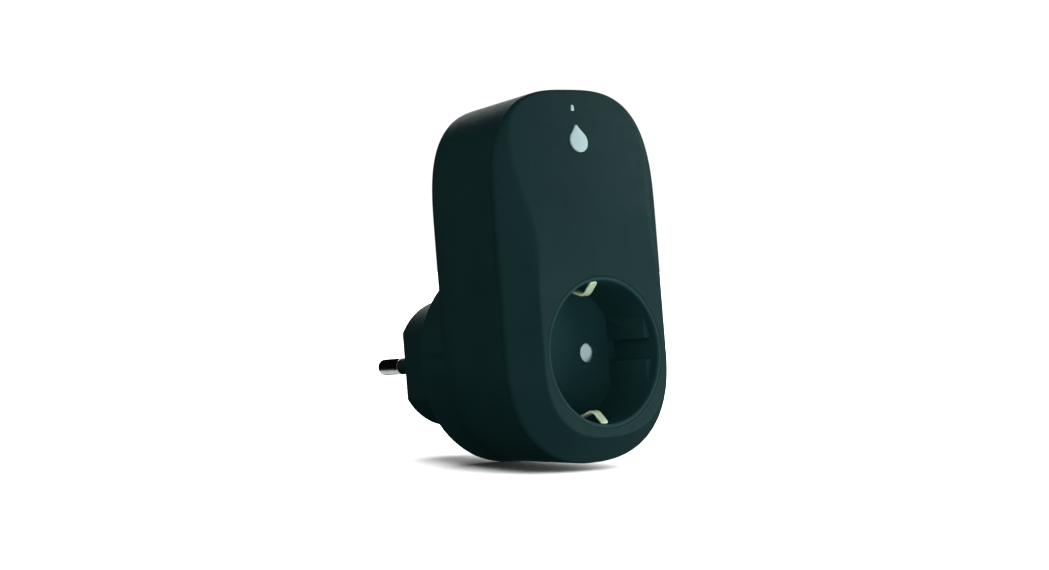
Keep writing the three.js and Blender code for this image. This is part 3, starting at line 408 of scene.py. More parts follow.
def laminate(name, colour, tracks):
    """Printed circuit board: solder mask over wide tracks, with the glass weave just showing."""
    look = Shader(name, 0.38, specular=0.5)
    copper = look.noise(2.6, 0, look.stretched((1, 0.2, 0.45)))
    look.colour(look.ramp(copper, [(0.47, colour), (0.5, tracks), (0.62, tracks), (0.65, colour)]))
    look.relief((look.cells(0.5), 0.004))
    return look.material


def coated(name, colour, roughness, grain_mm, grain_depth):
    """A dipped or printed component body with a slightly uneven skin."""
    look = Shader(name, roughness, specular=0.45, coat=0.15)
    stops = [(0.3, shade(colour, 0.85)), (0.7, shade(colour, 1.12))]
    look.colour(look.ramp(look.noise(3, 3), stops))
    look.relief((look.noise(grain_mm, 2), grain_depth))
    return look.material


def clear(name, colour, roughness, transmission):
    """Tinted light-carrying plastic with a fine frosted skin."""
    look = Shader(name, roughness, specular=0.5, transmission=transmission, ior=1.49)
    stops = [(0.3, shade(colour, 0.92)), (0.7, shade(colour, 1.06))]
    look.colour(look.ramp(look.noise(0.9, 2), stops))
    look.relief((look.noise(0.12, 1), 0.002))
    return look.material


def wound(name, colour, gap):
    """Tape over a winding: narrow overlapping turns across the height."""
    look = Shader(name, 0.5, specular=0.4)
    turns = look.tree.nodes.new("ShaderNodeTexWave")
    turns.inputs["Scale"].default_value = 1 / (4.5 * MM)
    turns.inputs["Distortion"].default_value = 0.6
    look.tree.links.new(look.place, turns.inputs["Vector"])
    stops = [(0.05, gap), (0.2, colour), (0.9, shade(colour, 1.1))]
    look.colour(look.ramp(turns.outputs["Fac"], stops))
    look.relief((turns.outputs["Fac"], 0.03))
    return look.material


TEAL = (0.0080, 0.0310, 0.0322)
TEAL_SHEEN = (0.40, 0.95, 1.0)

housing_plastic = plastic("housing_plastic", TEAL, 0.6, specular=0.2, tint=TEAL_SHEEN)
# Painted light: the socket insert is the housing's teal made 1.7 times brighter, a lit copy that
# brightens the shaded recess and its lip.
insert_plastic = plastic("insert_plastic", shade(TEAL, 1.7), 0.56, specular=0.2, tint=TEAL_SHEEN)
sleeve_plastic = plastic("sleeve_plastic", shade(TEAL, 0.75), 0.5, specular=0.2, tint=TEAL_SHEEN)
carrier_plastic = plastic("carrier_plastic", linear(59, 65, 68), 0.55)
shutter_plastic = plastic("shutter_plastic", linear(206, 238, 240), 0.4, grain_depth=0.003)
button_plastic = plastic(
    "button_plastic", linear(204, 236, 239), 0.4, grain_depth=0.003, drift=0.03,
)
light_guide_plastic = clear("light_guide_plastic", linear(205, 255, 250), 0.35, 0.12)
board_laminate = laminate("board_laminate", linear(22, 84, 50), linear(38, 112, 66))
black_component = coated("black_component", linear(24, 25, 27), 0.42, 0.3, 0.006)
relay_plastic = plastic("relay_plastic", linear(34, 38, 42), 0.4)
capacitor_sleeve = coated("capacitor_sleeve", linear(34, 38, 46), 0.28, 1.5, 0.01)
film_capacitor_plastic = coated("film_capacitor_plastic", linear(199, 166, 60), 0.4, 0.6, 0.01)
varistor_coating = coated("varistor_coating", linear(44, 95, 158), 0.35, 0.9, 0.04)
coil_tape = wound("coil_tape", linear(215, 181, 69), linear(120, 92, 30))
diode_lens = clear("diode_lens", linear(223, 230, 220), 0.15, 0.4)
nickel = metal("nickel", linear(205, 209, 204), 0.2, (1, 0.12, 1))
spring_brass = metal(
    "spring_brass", linear(202, 226, 192), 0.42, (1, 0.15, 0.15), grain_mm=0.3, metallic=0.6,
)
contact_brass = metal("contact_brass", linear(195, 163, 90), 0.32, (1, 0.2, 1))
copper = metal("copper", linear(190, 120, 76), 0.34, (1, 0.2, 0.2))
screw_steel = metal("screw_steel", linear(140, 144, 147), 0.32, (1, 6, 1), grain_mm=0.8)
shield_tin = metal("shield_tin", linear(188, 191, 191), 0.3, (0.3, 1, 1))

SLOT_MATERIALS = {
    "housing": housing_plastic,
    "insert": insert_plastic,
    "sleeve": sleeve_plastic,
    "carrier": carrier_plastic,
    "shutter": shutter_plastic,
    "button": button_plastic,
    "light_guide": light_guide_plastic,
    "board": board_laminate,
    "component": black_component,
    "relay": relay_plastic,
    "capacitor": capacitor_sleeve,
    "film_capacitor": film_capacitor_plastic,
    "varistor": varistor_coating,
    "coil": coil_tape,
    "lens": diode_lens,
    "nickel": nickel,
    "spring_brass": spring_brass,
    "contact_brass": contact_brass,
    "copper": copper,
    "screw": screw_steel,
    "shield": shield_tin,
}

# ------------------------------------------------------------------ body outline


def quarter_arc(centre, half_width, half_height, power, steps):
    """One quarter of a superellipse, from its side point towards its end point."""
    points = []
    for i in range(steps + 1):
        angle = math.pi / 2 * i / steps
        x = half_width * max(math.cos(angle), 0) ** (2 / power)
        points.append((x, centre + half_height * math.sin(angle) ** (2 / power)))
    return points


def body_outline(depth, inset):
    """Cross-section of the body as (x, z) points. depth is 0 at the ridge, 1 at the upper back."""
    half_width = HALF_WIDTH - inset
    top = lerp(TOP_AT_RIDGE, TOP_AT_BACK, depth) - inset
    bottom = lerp(BOTTOM_AT_RIDGE, -HALF_WIDTH, depth) + inset
    lower_centre = lerp(LOWER_CENTRE_AT_RIDGE, 0, depth)
    lower_power = lerp(LOWER_POWER_AT_RIDGE, 2, depth)
    upper = quarter_arc(UPPER_CENTRE, half_width, top - UPPER_CENTRE, UPPER_POWER, QUARTER_STEPS)
    lower = quarter_arc(lower_centre, half_width, bottom - lower_centre, lower_power, QUARTER_STEPS)
    side = [
        (half_width, lerp(lower_centre, UPPER_CENTRE, i / SIDE_STEPS)) for i in range(1, SIDE_STEPS)
    ]
    right = lower[-2::-1] + side + upper
    left = [(-x, z) for x, z in right[-2::-1]]
    return [lower[-1]] + right + left


def body_ring(y, inset=0.0):
    depth = max((y - RIDGE_Y) / (BACK_Y - RIDGE_Y), 0)
    return [(x, y, z) for x, z in body_outline(depth, inset)]


# ------------------------------------------------------------------ front cover


def plateau_fall(z):
    """How far the plateau falls back above the socket: it bends gently, then runs straight."""
    above = max(z - SLOPE_START, 0)
    if above < SLOPE_EASE:
        return UPPER_SLOPE * above * above / (2 * SLOPE_EASE)
    return UPPER_SLOPE * (above - SLOPE_EASE / 2)


def front_rise(x, z, edge_distance):
    """How far the face stands in front of the ridge: a 45 degree bevel and a sloping plateau."""
    crown = CROWN * smoothstep(z, SLOPE_START, CREASE_FADE[1]) * x * x
    plateau = LIP_RISE - plateau_fall(z) - crown
    softness = lerp(BEVEL_SOFT_LOW, BEVEL_SOFT_HIGH, smoothstep(z, *CREASE_FADE))
    blend = min(softness, max(plateau, 0.05))
    closeness = max(blend - abs(edge_distance - plateau), 0) / blend
    return min(edge_distance, plateau) - closeness * closeness * blend / 4


def face_rings(inset, steps, thickness=0.0):
    """Rings of the face from the outline, pulled in by an inset, to the round bore."""
    outline = body_outline(0, inset)
    count = len(outline)
    rings = []
    for step in steps:
        ring = []
        for i, (x, z) in enumerate(outline):
            next_x, next_z = outline[(i + 1) % count]
            last_x, last_z = outline[i - 1]
            normal = Vector((next_z - last_z, last_x - next_x)).normalized()
            reach = COVER_BORE / math.hypot(x, z)
            inward = Vector((x - x * reach, z - z * reach)) * step
            px, pz = x - inward.x, z - inward.y
            rise = front_rise(px, pz, inset + inward.dot(normal))
            ring.append((px, RIDGE_Y - rise + thickness, pz))
        rings.append(ring)
    return rings


def front_y(z):
    return RIDGE_Y - front_rise(0, z, TOP_AT_RIDGE - z)


def between(first, second, share):
    return [tuple(lerp(a, b, share) for a, b in zip(p, q)) for p, q in zip(first, second)]


FACE_RINGS = 96
INNER_FACE_STEPS = (1, 0.7, 0.35, 0.12, 0)
RIDGE_STEPS = 8
WALL = 2.2
TONGUE_OUTER_INSET = WALL + 0.3
TONGUE_INNER_INSET = TONGUE_OUTER_INSET + 1.3
TONGUE_LENGTH = 3.0
EDGE_ROUND = 0.06


DROP_SHOULDER = 36
DROP_TIP_HALF = 0.45
DROP_TIP_HEIGHT = 0.35
DROP_ARC_STEPS = 48
DROP_FLANK_STEPS = 14
DROP_TIP_STEPS = 8


def curve(start, control, end, steps):
    """Points of a quadratic curve between two (x, z) points, without its end."""
    return [
        tuple(
            (1 - t) ** 2 * a + 2 * t * (1 - t) * b + t * t * c
            for a, b, c in zip(start, control, end)
        )
        for t in (i / steps for i in range(steps))
    ]


def drop_outline(grow=0.0):
    """Teardrop: a round lower end whose flanks draw in to a small rounded tip."""
    radius = BUTTON_ROUND_RADIUS + grow
    tip = BUTTON_HEIGHT - BUTTON_ROUND_RADIUS + grow
    tip_half = DROP_TIP_HALF + grow / 2
    turn = math.radians(DROP_SHOULDER)
    shoulder = (radius * math.cos(turn), radius * math.sin(turn))
    flank_end = (tip_half, tip - DROP_TIP_HEIGHT)
    right = curve(shoulder, (tip_half + 0.7, tip - 1.3), flank_end, DROP_FLANK_STEPS)
    right += curve(flank_end, (tip_half * 0.7, tip), (0, tip), DROP_TIP_STEPS)
    left = [(-x, z) for x, z in reversed(right)]
    round_end = arc((0, 0), radius, 180 - DROP_SHOULDER, 360 + DROP_SHOULDER, DROP_ARC_STEPS)
    return right + [(0, tip)] + left[:-1] + round_end[:-1]


BUTTON_CENTRE_Z = BUTTON_Z - (BUTTON_HEIGHT - 2 * BUTTON_ROUND_RADIUS) / 2
BUTTON_GAP = 0.13
LIGHT_GAP = 0.05
LIGHT_HALF_WIDTH_LOW = 0.6
LIGHT_HALF_WIDTH_HIGH = 0.44
LIGHT_HALF_HEIGHT = 0.85
LIGHT_CORNER = 0.28


def light_outline(grow=0.0):
    """Small window for the light: rounded, and a little narrower at its top."""
    lower, upper = LIGHT_HALF_WIDTH_LOW + grow, LIGHT_HALF_WIDTH_HIGH + grow
    half_height = LIGHT_HALF_HEIGHT + grow
    corner = LIGHT_CORNER + grow
    points = []
    for centre_x, centre_z, start in (
        (lower - corner, -half_height + corner, 270),
        (upper - corner, half_height - corner, 0),
        (corner - upper, half_height - corner, 90),
        (corner - lower, -half_height + corner, 180),
    ):
        points += arc((centre_x, centre_z), corner, start, start + 90, 8)
    return points


def raised(outline, z):
    return [(x, z + dz) for x, dz in outline]


def front_cover():
    ridge_inset = RIDGE_ROUND / math.sqrt(2)
    side = body_ring(RIDGE_Y + RIDGE_ROUND)
    corner = body_ring(RIDGE_Y)
    face = face_rings(ridge_inset, [0])[0]
    rounding = [
        between(between(side, corner, t), between(corner, face, t), t)
        for t in (i / RIDGE_STEPS for i in range(RIDGE_STEPS))
    ]
    edge = [
        body_ring(COVER_EDGE_Y - EDGE_ROUND * (1 - math.sin(a)), EDGE_ROUND * (1 - math.cos(a)))
        for a in (math.pi / 2, math.pi / 4, 0)
    ]
    bore_lip = face_rings(ridge_inset, [1], EDGE_ROUND)[0]
    rings = edge + rounding
    rings += face_rings(ridge_inset, [i / FACE_RINGS for i in range(FACE_RINGS + 1)])
    rings += [bore_lip] + face_rings(TONGUE_INNER_INSET, INNER_FACE_STEPS, WALL)
    rings += [
        body_ring(COVER_EDGE_Y + TONGUE_LENGTH, TONGUE_INNER_INSET),
        body_ring(COVER_EDGE_Y + TONGUE_LENGTH, TONGUE_OUTER_INSET),
        body_ring(COVER_EDGE_Y, TONGUE_OUTER_INSET),
    ]
    piece = make_object("cover_shell", *loft(rings, closed=True), housing_plastic)
    button_hole = raised(drop_outline(BUTTON_GAP), BUTTON_CENTRE_Z)
    light_hole = raised(light_outline(LIGHT_GAP), LIGHT_Z)
    cut(
        piece,
        slab("button_hole", button_hole, LIP_Y - 1, RIDGE_Y + 3, housing_plastic),
        slab("light_hole", light_hole, LIP_Y - 1, RIDGE_Y + 6, housing_plastic),
    )
    smooth(piece)
    return place(piece, "front_cover", slot="housing")


# ------------------------------------------------------------------ main housing

BACK_ROUND = 1.5
BACK_ROUND_STEPS = 6
DRUM_ROUND = 1.2
DRUM_ROUND_STEPS = 8
DRUM_OVERLAP = 1.4
BASE_PLATE = 2.2
BASE_RADIUS = 26.95
PLATE_GAP = 0.15
SEAT_GAP = 0.1
REBATE_RADIUS = BASE_RADIUS + PLATE_GAP
REBATE_CHAMFER = 0.15
LEDGE_RADIUS = 26.0
LEDGE_THICKNESS = 2


def main_housing():
    front_edge = COVER_EDGE_Y + SEAM_GAP
    rings = [body_ring(front_edge, EDGE_ROUND), body_ring(front_edge + EDGE_ROUND)]
    rings += [
        body_ring(lerp(front_edge, BACK_Y - BACK_ROUND, share)) for share in (0.25, 0.5, 0.75)
    ]
    for i in range(BACK_ROUND_STEPS + 1):
        angle = math.pi / 2 * i / BACK_ROUND_STEPS
        inset = BACK_ROUND * (1 - math.cos(angle))
        rings.append(body_ring(BACK_Y - BACK_ROUND * (1 - math.sin(angle)), inset))
    piece = make_object("housing_shell", *loft(rings, caps=True), housing_plastic)
    profile = [(HALF_WIDTH, BACK_Y - DRUM_OVERLAP), (HALF_WIDTH, BASE_Y - DRUM_ROUND)]
    for i in range(1, DRUM_ROUND_STEPS + 1):
        angle = math.pi / 2 * i / DRUM_ROUND_STEPS
        reach = HALF_WIDTH - DRUM_ROUND * (1 - math.cos(angle))
        profile.append((reach, BASE_Y - DRUM_ROUND * (1 - math.sin(angle))))
    segments = 4 * QUARTER_STEPS
    drum = make_object("drum", *turned(profile, segments), housing_plastic)
    cut(piece, drum, operation="UNION")
    cavity = [body_ring(front_edge - 1, WALL), body_ring(BACK_Y - WALL, WALL)]
    seat = BASE_Y - BASE_PLATE
    bore = [
        (HALF_WIDTH - WALL, BACK_Y - WALL - 1),
        (HALF_WIDTH - WALL, seat - LEDGE_THICKNESS),
        (LEDGE_RADIUS, seat - LEDGE_THICKNESS),
        (LEDGE_RADIUS, seat - SEAT_GAP),
        (REBATE_RADIUS, seat - SEAT_GAP),
        (REBATE_RADIUS, BASE_Y - REBATE_CHAMFER),
        (REBATE_RADIUS + 2 * REBATE_CHAMFER, BASE_Y + REBATE_CHAMFER),
    ]
    cut(
        piece,
        make_object("cavity", *loft(cavity, caps=True), housing_plastic),
        make_object("bore", *turned(bore, segments), housing_plastic),
    )
    smooth(piece)
    return place(piece, "main_housing", slot="housing")


# ------------------------------------------------------------------ plug base and pins

BOSS_RADIUS = 18.5
BOSS_HALF_FLAT = 15.8
BOSS_FACE = 4.0
BOSS_EDGE_ROUND = 0.7
BOSS_INNER_RADIUS = 15.6
PLATE_EDGE_ROUND = 0.2
PIN_BORE_RADIUS = 2.45
PIN_BORE_DEPTH = 10
EARTH_SLOT_HALF_WIDTH = 2.8
EARTH_SLOT_FRONT_Y = -21.8
# Each cut's name, its inner and outer distance from the axis and the Y where it ends.
EARTH_CUTS = (("earth_slot", 17, 19.5, -2.4), ("earth_window", 13.5, 18.5, -19.8))
PILLAR_REACH = 23.6 / math.sqrt(2)
SCREW_BORE_RADIUS = 1.4
SCREW_SEAT_DEPTH = 1.2
SCREW_HEAD_RADIUS = 2.0
SCREW_HEAD_GAP = 0.15
SCREW_SINK = 0.1
# Radius of the screw and the distance of each step below the top of its head.
SCREW_PROFILE = (
    (0.5, 12), (1.1, 11), (1.1, 1.1), (SCREW_HEAD_RADIUS, 1.1),
    (SCREW_HEAD_RADIUS, 0.5), (1.85, 0.22), (1.5, 0.06), (1.2, 0),
)


def boss_outline():
    corner = math.degrees(math.acos(BOSS_HALF_FLAT / BOSS_RADIUS))
    top = arc((0, 0), BOSS_RADIUS, corner, 180 - corner, 72)
    bottom = arc((0, 0), BOSS_RADIUS, 180 + corner, 360 - corner, 72)
    return top + bottom


def pillar_places():
    return [
        (PILLAR_REACH, PILLAR_REACH), (-PILLAR_REACH, PILLAR_REACH),
        (-PILLAR_REACH, -PILLAR_REACH), (PILLAR_REACH, -PILLAR_REACH),
    ]


def plug_base():
    material = housing_plastic
    piece = slab("plug_base_shell", boss_outline(), BASE_Y - 0.6, 0, material)
    soften(piece, BOSS_EDGE_ROUND, 4, 25)
    apply_modifiers(piece)
    plate_profile = [(BASE_RADIUS, BASE_Y - BASE_PLATE)]
    plate_profile += [
        (BASE_RADIUS - PLATE_EDGE_ROUND + u, BASE_Y - PLATE_EDGE_ROUND + v)
        for u, v in arc((0, 0), PLATE_EDGE_ROUND, 0, 90, 4)
    ]
    plate = make_object("plate", *turned(plate_profile, 4 * QUARTER_STEPS), material)
    cut(piece, plate, operation="UNION")
    start = BASE_Y - BASE_PLATE - 1
    hollow = arc((0, 0), BOSS_INNER_RADIUS, 40, 140, 24)
    hollow += arc((0, 0), BOSS_INNER_RADIUS, 220, 320, 24)
    cutters = [slab("hollow", hollow, start, -BOSS_FACE, material)]
    for side in (-1, 1):
        pin_x = side * PIN_SPACING / 2
        cutters.append(rod("pin_bore", PIN_BORE_RADIUS, -PIN_BORE_DEPTH, 1, pin_x, 0, material))
        for name, inner, outer, back in EARTH_CUTS:
            low, high = sorted((side * inner, side * outer))
            corner = (-EARTH_SLOT_HALF_WIDTH, EARTH_SLOT_FRONT_Y, low)
            cutters.append(block(name, corner, (EARTH_SLOT_HALF_WIDTH, back, high), material))
    end = BASE_Y + 1
    seat_radius, seat_y = SCREW_HEAD_RADIUS + SCREW_HEAD_GAP, BASE_Y - SCREW_SEAT_DEPTH
    for x, z in pillar_places():
        cutters.append(rod("screw_bore", SCREW_BORE_RADIUS, start, end, x, z, material, 32))
        cutters.append(rod("screw_seat", seat_radius, seat_y, end, x, z, material, 48))
    cut(piece, *cutters)
    smooth(piece)
    return place(piece, "plug_base", slot="housing")


PIN_TIP_ROUND = 1.5
PIN_CORE_INSET = 0.5
PIN_SHOULDER_EDGE = 0.05
SLEEVE_WALL = 0.4
SLEEVE_EDGE = 0.1


def plug_pins():
    for side, name in ((-1, "left"), (1, "right")):
        centre = (side * PIN_SPACING / 2, 0)
        radius = pin_high.x + PIN_SPACING / 2
        tip = pin_high.y
        core = radius - PIN_CORE_INSET
        shoulder = sleeve_high.y + PIN_SHOULDER_EDGE
        profile = [
            (core, pin_low.y), (core, shoulder),
            (radius - PIN_SHOULDER_EDGE, shoulder), (radius, shoulder + PIN_SHOULDER_EDGE),
        ]
        profile += [
            (radius - PIN_TIP_ROUND + u, tip - PIN_TIP_ROUND + v)
            for u, v in arc((0, 0), PIN_TIP_ROUND, 0, 90, 10)
        ]
        pin = make_object(f"pin_{name}_turned", *turned(profile, 96, centre), nickel)
        place(pin, f"pin_{name}", slot="nickel")
        inner = radius - SLEEVE_WALL
        sleeve_profile = [
            (inner, sleeve_low.y), (radius, sleeve_low.y), (radius, sleeve_high.y - SLEEVE_EDGE),
            (radius - SLEEVE_EDGE, sleeve_high.y), (inner, sleeve_high.y),
        ]
        tube = turned(sleeve_profile, 96, centre, closed=True)
        sleeve = make_object(f"sleeve_{name}", *tube, sleeve_plastic)
        place(sleeve, f"pin_sleeve_{name}", slot="sleeve")


def strip_section(width, thickness, edge=0.14):
    """Cross-section of a sheet-metal strip with its stamped edges rounded, as (across, through)."""
    half, deep = width / 2 - edge, thickness / 2 - edge
    points = []
    for cx, cz, start in (
        (half, -deep, 270), (half, deep, 0), (-half, deep, 90), (-half, -deep, 180),
    ):
        points += arc((cx, cz), edge, start, start + 90, 3)
    return points


def rounded_line(corners, radius, steps=6):
    """A line of (y, z) corners with each inner corner turned into an arc-like bend."""
    line = [Vector(corners[0])]
    for before, corner, after in zip(corners, corners[1:], corners[2:]):
        before, corner, after = Vector(before), Vector(corner), Vector(after)
        towards, away = before - corner, after - corner
        reach = min(radius, towards.length * 0.48, away.length * 0.48)
        start = corner + towards.normalized() * reach
        end = corner + away.normalized() * reach
        for i in range(steps + 1):
            t = i / steps
            line.append((1 - t) ** 2 * start + 2 * t * (1 - t) * corner + t * t * end)
    line.append(Vector(corners[-1]))
    return line


def bent_strip(name, corners, width, thickness, material, bend=1.0, round_start=False):
    """A metal strip along a line in the Y-Z plane. A rounded start draws in like a tongue."""
    line = rounded_line(corners, bend)
    if round_start:
        first, second = line[0], line[1]
        ahead = (second - first).normalized()
        tongue = [width / 2 * (1 - math.cos(math.radians(angle))) for angle in range(8, 90, 9)]
        straight = [point for point in line[1:] if (point - first).length > width / 2]
        line = [first + ahead * reach for reach in tongue] + straight
    rings = []
    for i, point in enumerate(line):
        before, after = line[max(i - 1, 0)], line[min(i + 1, len(line) - 1)]
        along = (after - before).normalized()
        side = Vector((-along.y, along.x))
        share = 1.0
        if round_start:
            gone = (point - Vector(corners[0])).length / (width / 2)
            share = math.sqrt(max(1 - max(1 - gone, 0) ** 2, 0.02))
        ring = []
        for across, through in strip_section(width * share, thickness):
            spot = point + side * through
            ring.append((across, spot.x, spot.y))
        rings.append(ring)
    return make_object(name, *loft(rings, caps=True), material)


CLIP_WIDTH = 2.3
CLIP_THICKNESS = 0.7
CLIP_BEND = 1.7
CLIP_LINE = [
    (-67.7, 19.6), (-63.7, 15.7), (-57.5, 17.7), (-52.6, 18.4), (-50.0, 18.6), (-30.0, 18.6),
]
EARTH_STRIP_WIDTH = 5.0
EARTH_STRIP_THICKNESS = 0.8
EARTH_STRIP_BEND = 0.9
EARTH_STRIP_LINE = [(-3.0, 17.8), (-20.6, 17.8), (-20.6, 14.4), (-28.1, 14.4)]


def earth_parts():
    clip_sizes = (CLIP_WIDTH, CLIP_THICKNESS, spring_brass, CLIP_BEND)
    strip_sizes = (EARTH_STRIP_WIDTH, EARTH_STRIP_THICKNESS, spring_brass, EARTH_STRIP_BEND)
    for side, place_name in ((1, "top"), (-1, "bottom")):
        clip_line = [(y, side * z) for y, z in CLIP_LINE]
        clip = bent_strip(f"clip_{place_name}", clip_line, *clip_sizes, round_start=True)
        place(clip, f"earth_clip_{place_name}", slot="spring_brass")
        strip_line = [(y, side * z) for y, z in EARTH_STRIP_LINE]
        strip = bent_strip(f"plug_strip_{place_name}", strip_line, *strip_sizes)
        place(strip, f"plug_earth_strip_{place_name}", slot="spring_brass")


DRIVE_STEPS = 72
DRIVE_LOBES = 6
DRIVE_RADIUS = 0.86
DRIVE_LOBE = 0.16
DRIVE_DEPTH = 0.85


def housing_screws():
    """Pan-head screws with a six-lobed drive recess."""
    for i, (x, z) in enumerate(pillar_places()):
        top = BASE_Y - SCREW_SINK
        profile = [(radius, top - below) for radius, below in SCREW_PROFILE]
        screw = make_object(f"screw_{i + 1}", *turned(profile, 64, (x, z)), screw_steel)
        drive = []
        for k in range(DRIVE_STEPS):
            angle = 2 * math.pi * k / DRIVE_STEPS
            reach = DRIVE_RADIUS + DRIVE_LOBE * math.cos(DRIVE_LOBES * angle)
            drive.append((x + reach * math.cos(angle), z + reach * math.sin(angle)))
        cut(screw, slab("drive", drive, top - DRIVE_DEPTH, top + 1, screw_steel))
        smooth(screw)
        place(screw, f"housing_screw_{i + 1}", slot="screw")


# ------------------------------------------------------------------ socket

INSERT_WALL = 1.5
INSERT_FLOOR = 1.2
FLOOR_FILLET = 0.12
OUTER_LIP_ROUND = 0.3
COUNTERSINK = 0.35
PAD_FACE = 17.3
PAD_GROOVE = 5.7
PAD_FRONT_Y = LIP_Y + 2.7
PAD_EDGE_ROUND = 0.22
CLIP_NOTCH_DEPTH = 0.8
CLIP_NOTCH_FRONT_Y = LIP_Y + 1.3
SLOT_HALF_WIDTH = CLIP_WIDTH / 2 + 0.4
SLOT_REACH = (17.3, 19.5)


def pad_outline(side, half):
    """One half of a flat pad: its face, the groove beside it and the round wall behind it."""
    root = RECESS_RADIUS + 0.6
    start = math.degrees(math.asin(PAD_GROOVE / 2 / root))
    end = math.degrees(math.acos(PAD_FACE / root))
    points = [(PAD_FACE, PAD_GROOVE / 2)] + arc((0, 0), root, start, end, 8)
    mirrored = [(side * x, half * z) for x, z in points]
    return mirrored if side == half else mirrored[::-1]


def socket_insert():
    # The brightened teal used here is painted light for the shaded recess.
    material = insert_plastic
    back = FLOOR_Y + INSERT_FLOOR
    floor_round = [
        (RECESS_RADIUS - FLOOR_FILLET + u, FLOOR_Y - FLOOR_FILLET - v)
        for u, v in arc((0, 0), FLOOR_FILLET, 270, 360, 5)
    ]
    lip = arc((RECESS_RADIUS + LIP_ROUND, LIP_Y + LIP_ROUND), LIP_ROUND, 180, 270, 10)
    outer_centre = (LIP_RADIUS - OUTER_LIP_ROUND, LIP_Y + OUTER_LIP_ROUND)
    outer_lip = arc(outer_centre, OUTER_LIP_ROUND, 270, 360, 5)
    outer = RECESS_RADIUS + INSERT_WALL
    profile = floor_round + lip + outer_lip
    profile += [(LIP_RADIUS, LIP_Y + 3), (outer, LIP_Y + 3.2), (outer, back)]
    piece = make_object("socket_cup", *turned(profile, 192), material)
    pads = []
    for side, half in ((-1, -1), (-1, 1), (1, -1), (1, 1)):
        pad = slab("pad", pad_outline(side, half), PAD_FRONT_Y, FLOOR_Y + 0.6, material)
        soften(pad, PAD_EDGE_ROUND, 3)
        apply_modifiers(pad)
        pads.append(pad)
    cut(piece, *pads, operation="UNION")
    cutters = []
    for side in (-1, 1):
        x = side * PIN_SPACING / 2
        cutters.append(rod("hole", SOCKET_HOLE_RADIUS, FLOOR_Y - 1, back + 1, x, 0, material, 72))
        countersink = [
            (SOCKET_HOLE_RADIUS - 0.2, FLOOR_Y + COUNTERSINK),
            (SOCKET_HOLE_RADIUS + COUNTERSINK, FLOOR_Y - 0.2),
        ]
        cutters.append(make_object("countersink", *turned(countersink, 72, (x, 0)), material))
        low, high = sorted(side * reach for reach in SLOT_REACH)
        slot = (-SLOT_HALF_WIDTH, FLOOR_Y - 1, low), (SLOT_HALF_WIDTH, back + 1, high)
        cutters.append(block("clip_slot", *slot, material))
        low, high = sorted((side * (RECESS_RADIUS - 1), side * (RECESS_RADIUS + CLIP_NOTCH_DEPTH)))
        notch = (-SLOT_HALF_WIDTH, CLIP_NOTCH_FRONT_Y, low), (SLOT_HALF_WIDTH, FLOOR_Y + 0.02, high)
        cutters.append(block("clip_notch", *notch, material))
    cut(piece, *cutters)
    smooth(piece)
    return place(piece, "socket_insert", slot="insert")


# ------------------------------------------------------------------ button and light

BUTTON_DOME = 0.12
BUTTON_PROUD = 0.35
BUTTON_EDGE = 0.28
BUTTON_EDGE_STEPS = 6
FLANGE_REACH = 1.1
FLANGE_THICKNESS = 1.3
LIGHT_PROUD = 0.08
# Inset of each ring of the lens and its distance behind the lens's front.
LIGHT_PROFILE = ((0, 0.12), (0.04, 0.04), (0.12, 0))


def power_button():
    """A drop-shaped cap with softened edges and a faint dome, over a hidden flange."""
    outline = drop_outline()
    slope = (front_y(BUTTON_CENTRE_Z + 2) - front_y(BUTTON_CENTRE_Z - 2)) / 4
    middle = front_y(BUTTON_CENTRE_Z) - BUTTON_PROUD

    def ring(shrink, height):
        points = []
        for x, z in outline:
            length = math.hypot(x, z)
            keep = max(length - shrink, 0) / length
            px, pz = x * keep, z * keep
            points.append((px, middle + slope * pz + height, BUTTON_CENTRE_Z + pz))
        return points

    foot_y = button_high.y - FLANGE_THICKNESS + 0.1
    rings = [[(x, foot_y, BUTTON_CENTRE_Z + z) for x, z in outline], ring(0, BUTTON_EDGE)]
    for i in range(1, BUTTON_EDGE_STEPS + 1):
        angle = math.pi / 2 * i / BUTTON_EDGE_STEPS
        rings.append(ring(BUTTON_EDGE * (1 - math.cos(angle)), BUTTON_EDGE * (1 - math.sin(angle))))
    for share in (0.9, 0.75, 0.55, 0.35, 0.15):
        reach = BUTTON_ROUND_RADIUS * (1 - share) + BUTTON_EDGE
        rings.append(ring(reach, -BUTTON_DOME * (1 - share ** 2)))
    cap = make_object("button_cap", *loft(rings, caps=True), button_plastic, 50)
    flange_outline = raised(drop_outline(FLANGE_REACH), BUTTON_CENTRE_Z)
    flange_front = button_high.y - FLANGE_THICKNESS
    flange = slab("flange", flange_outline, flange_front, button_high.y, button_plastic)
    cut(cap, flange, operation="UNION")
    smooth(cap, 40)
    return place(cap, "power_button", body="button", slot="button")


def light_guide():
    front = front_y(LIGHT_Z) - LIGHT_PROUD
    steps = [(0, guide_high.y)] + [(inset, front + behind) for inset, behind in LIGHT_PROFILE]
    rings = [
        [(x, y, z) for x, z in raised(light_outline(-inset), LIGHT_Z)] for inset, y in steps
    ]
    guide = make_object("light_lens", *loft(rings, caps=True), light_guide_plastic, 50)
    return place(guide, "light_guide", slot="light_guide")


front_cover()
main_housing()
plug_base()
plug_pins()
earth_parts()
housing_screws()
socket_insert()
power_button()
light_guide()

# ------------------------------------------------------------------ pieces kept from the frame

KEPT_EDGE_ROUND = 0.15

slots = {part["node"]: part["material_slot"] for part in frame["record"]["subparts"]}
for node, carried in frame["nodes"].items():
    if carried.hide_render:
        continue
    carried.data.materials.clear()
    carried.data.materials.append(SLOT_MATERIALS[slots[node]])
    soften(carried, KEPT_EDGE_ROUND, 2, 40)
    smooth(carried)

# ------------------------------------------------------------------ floor, world and lights

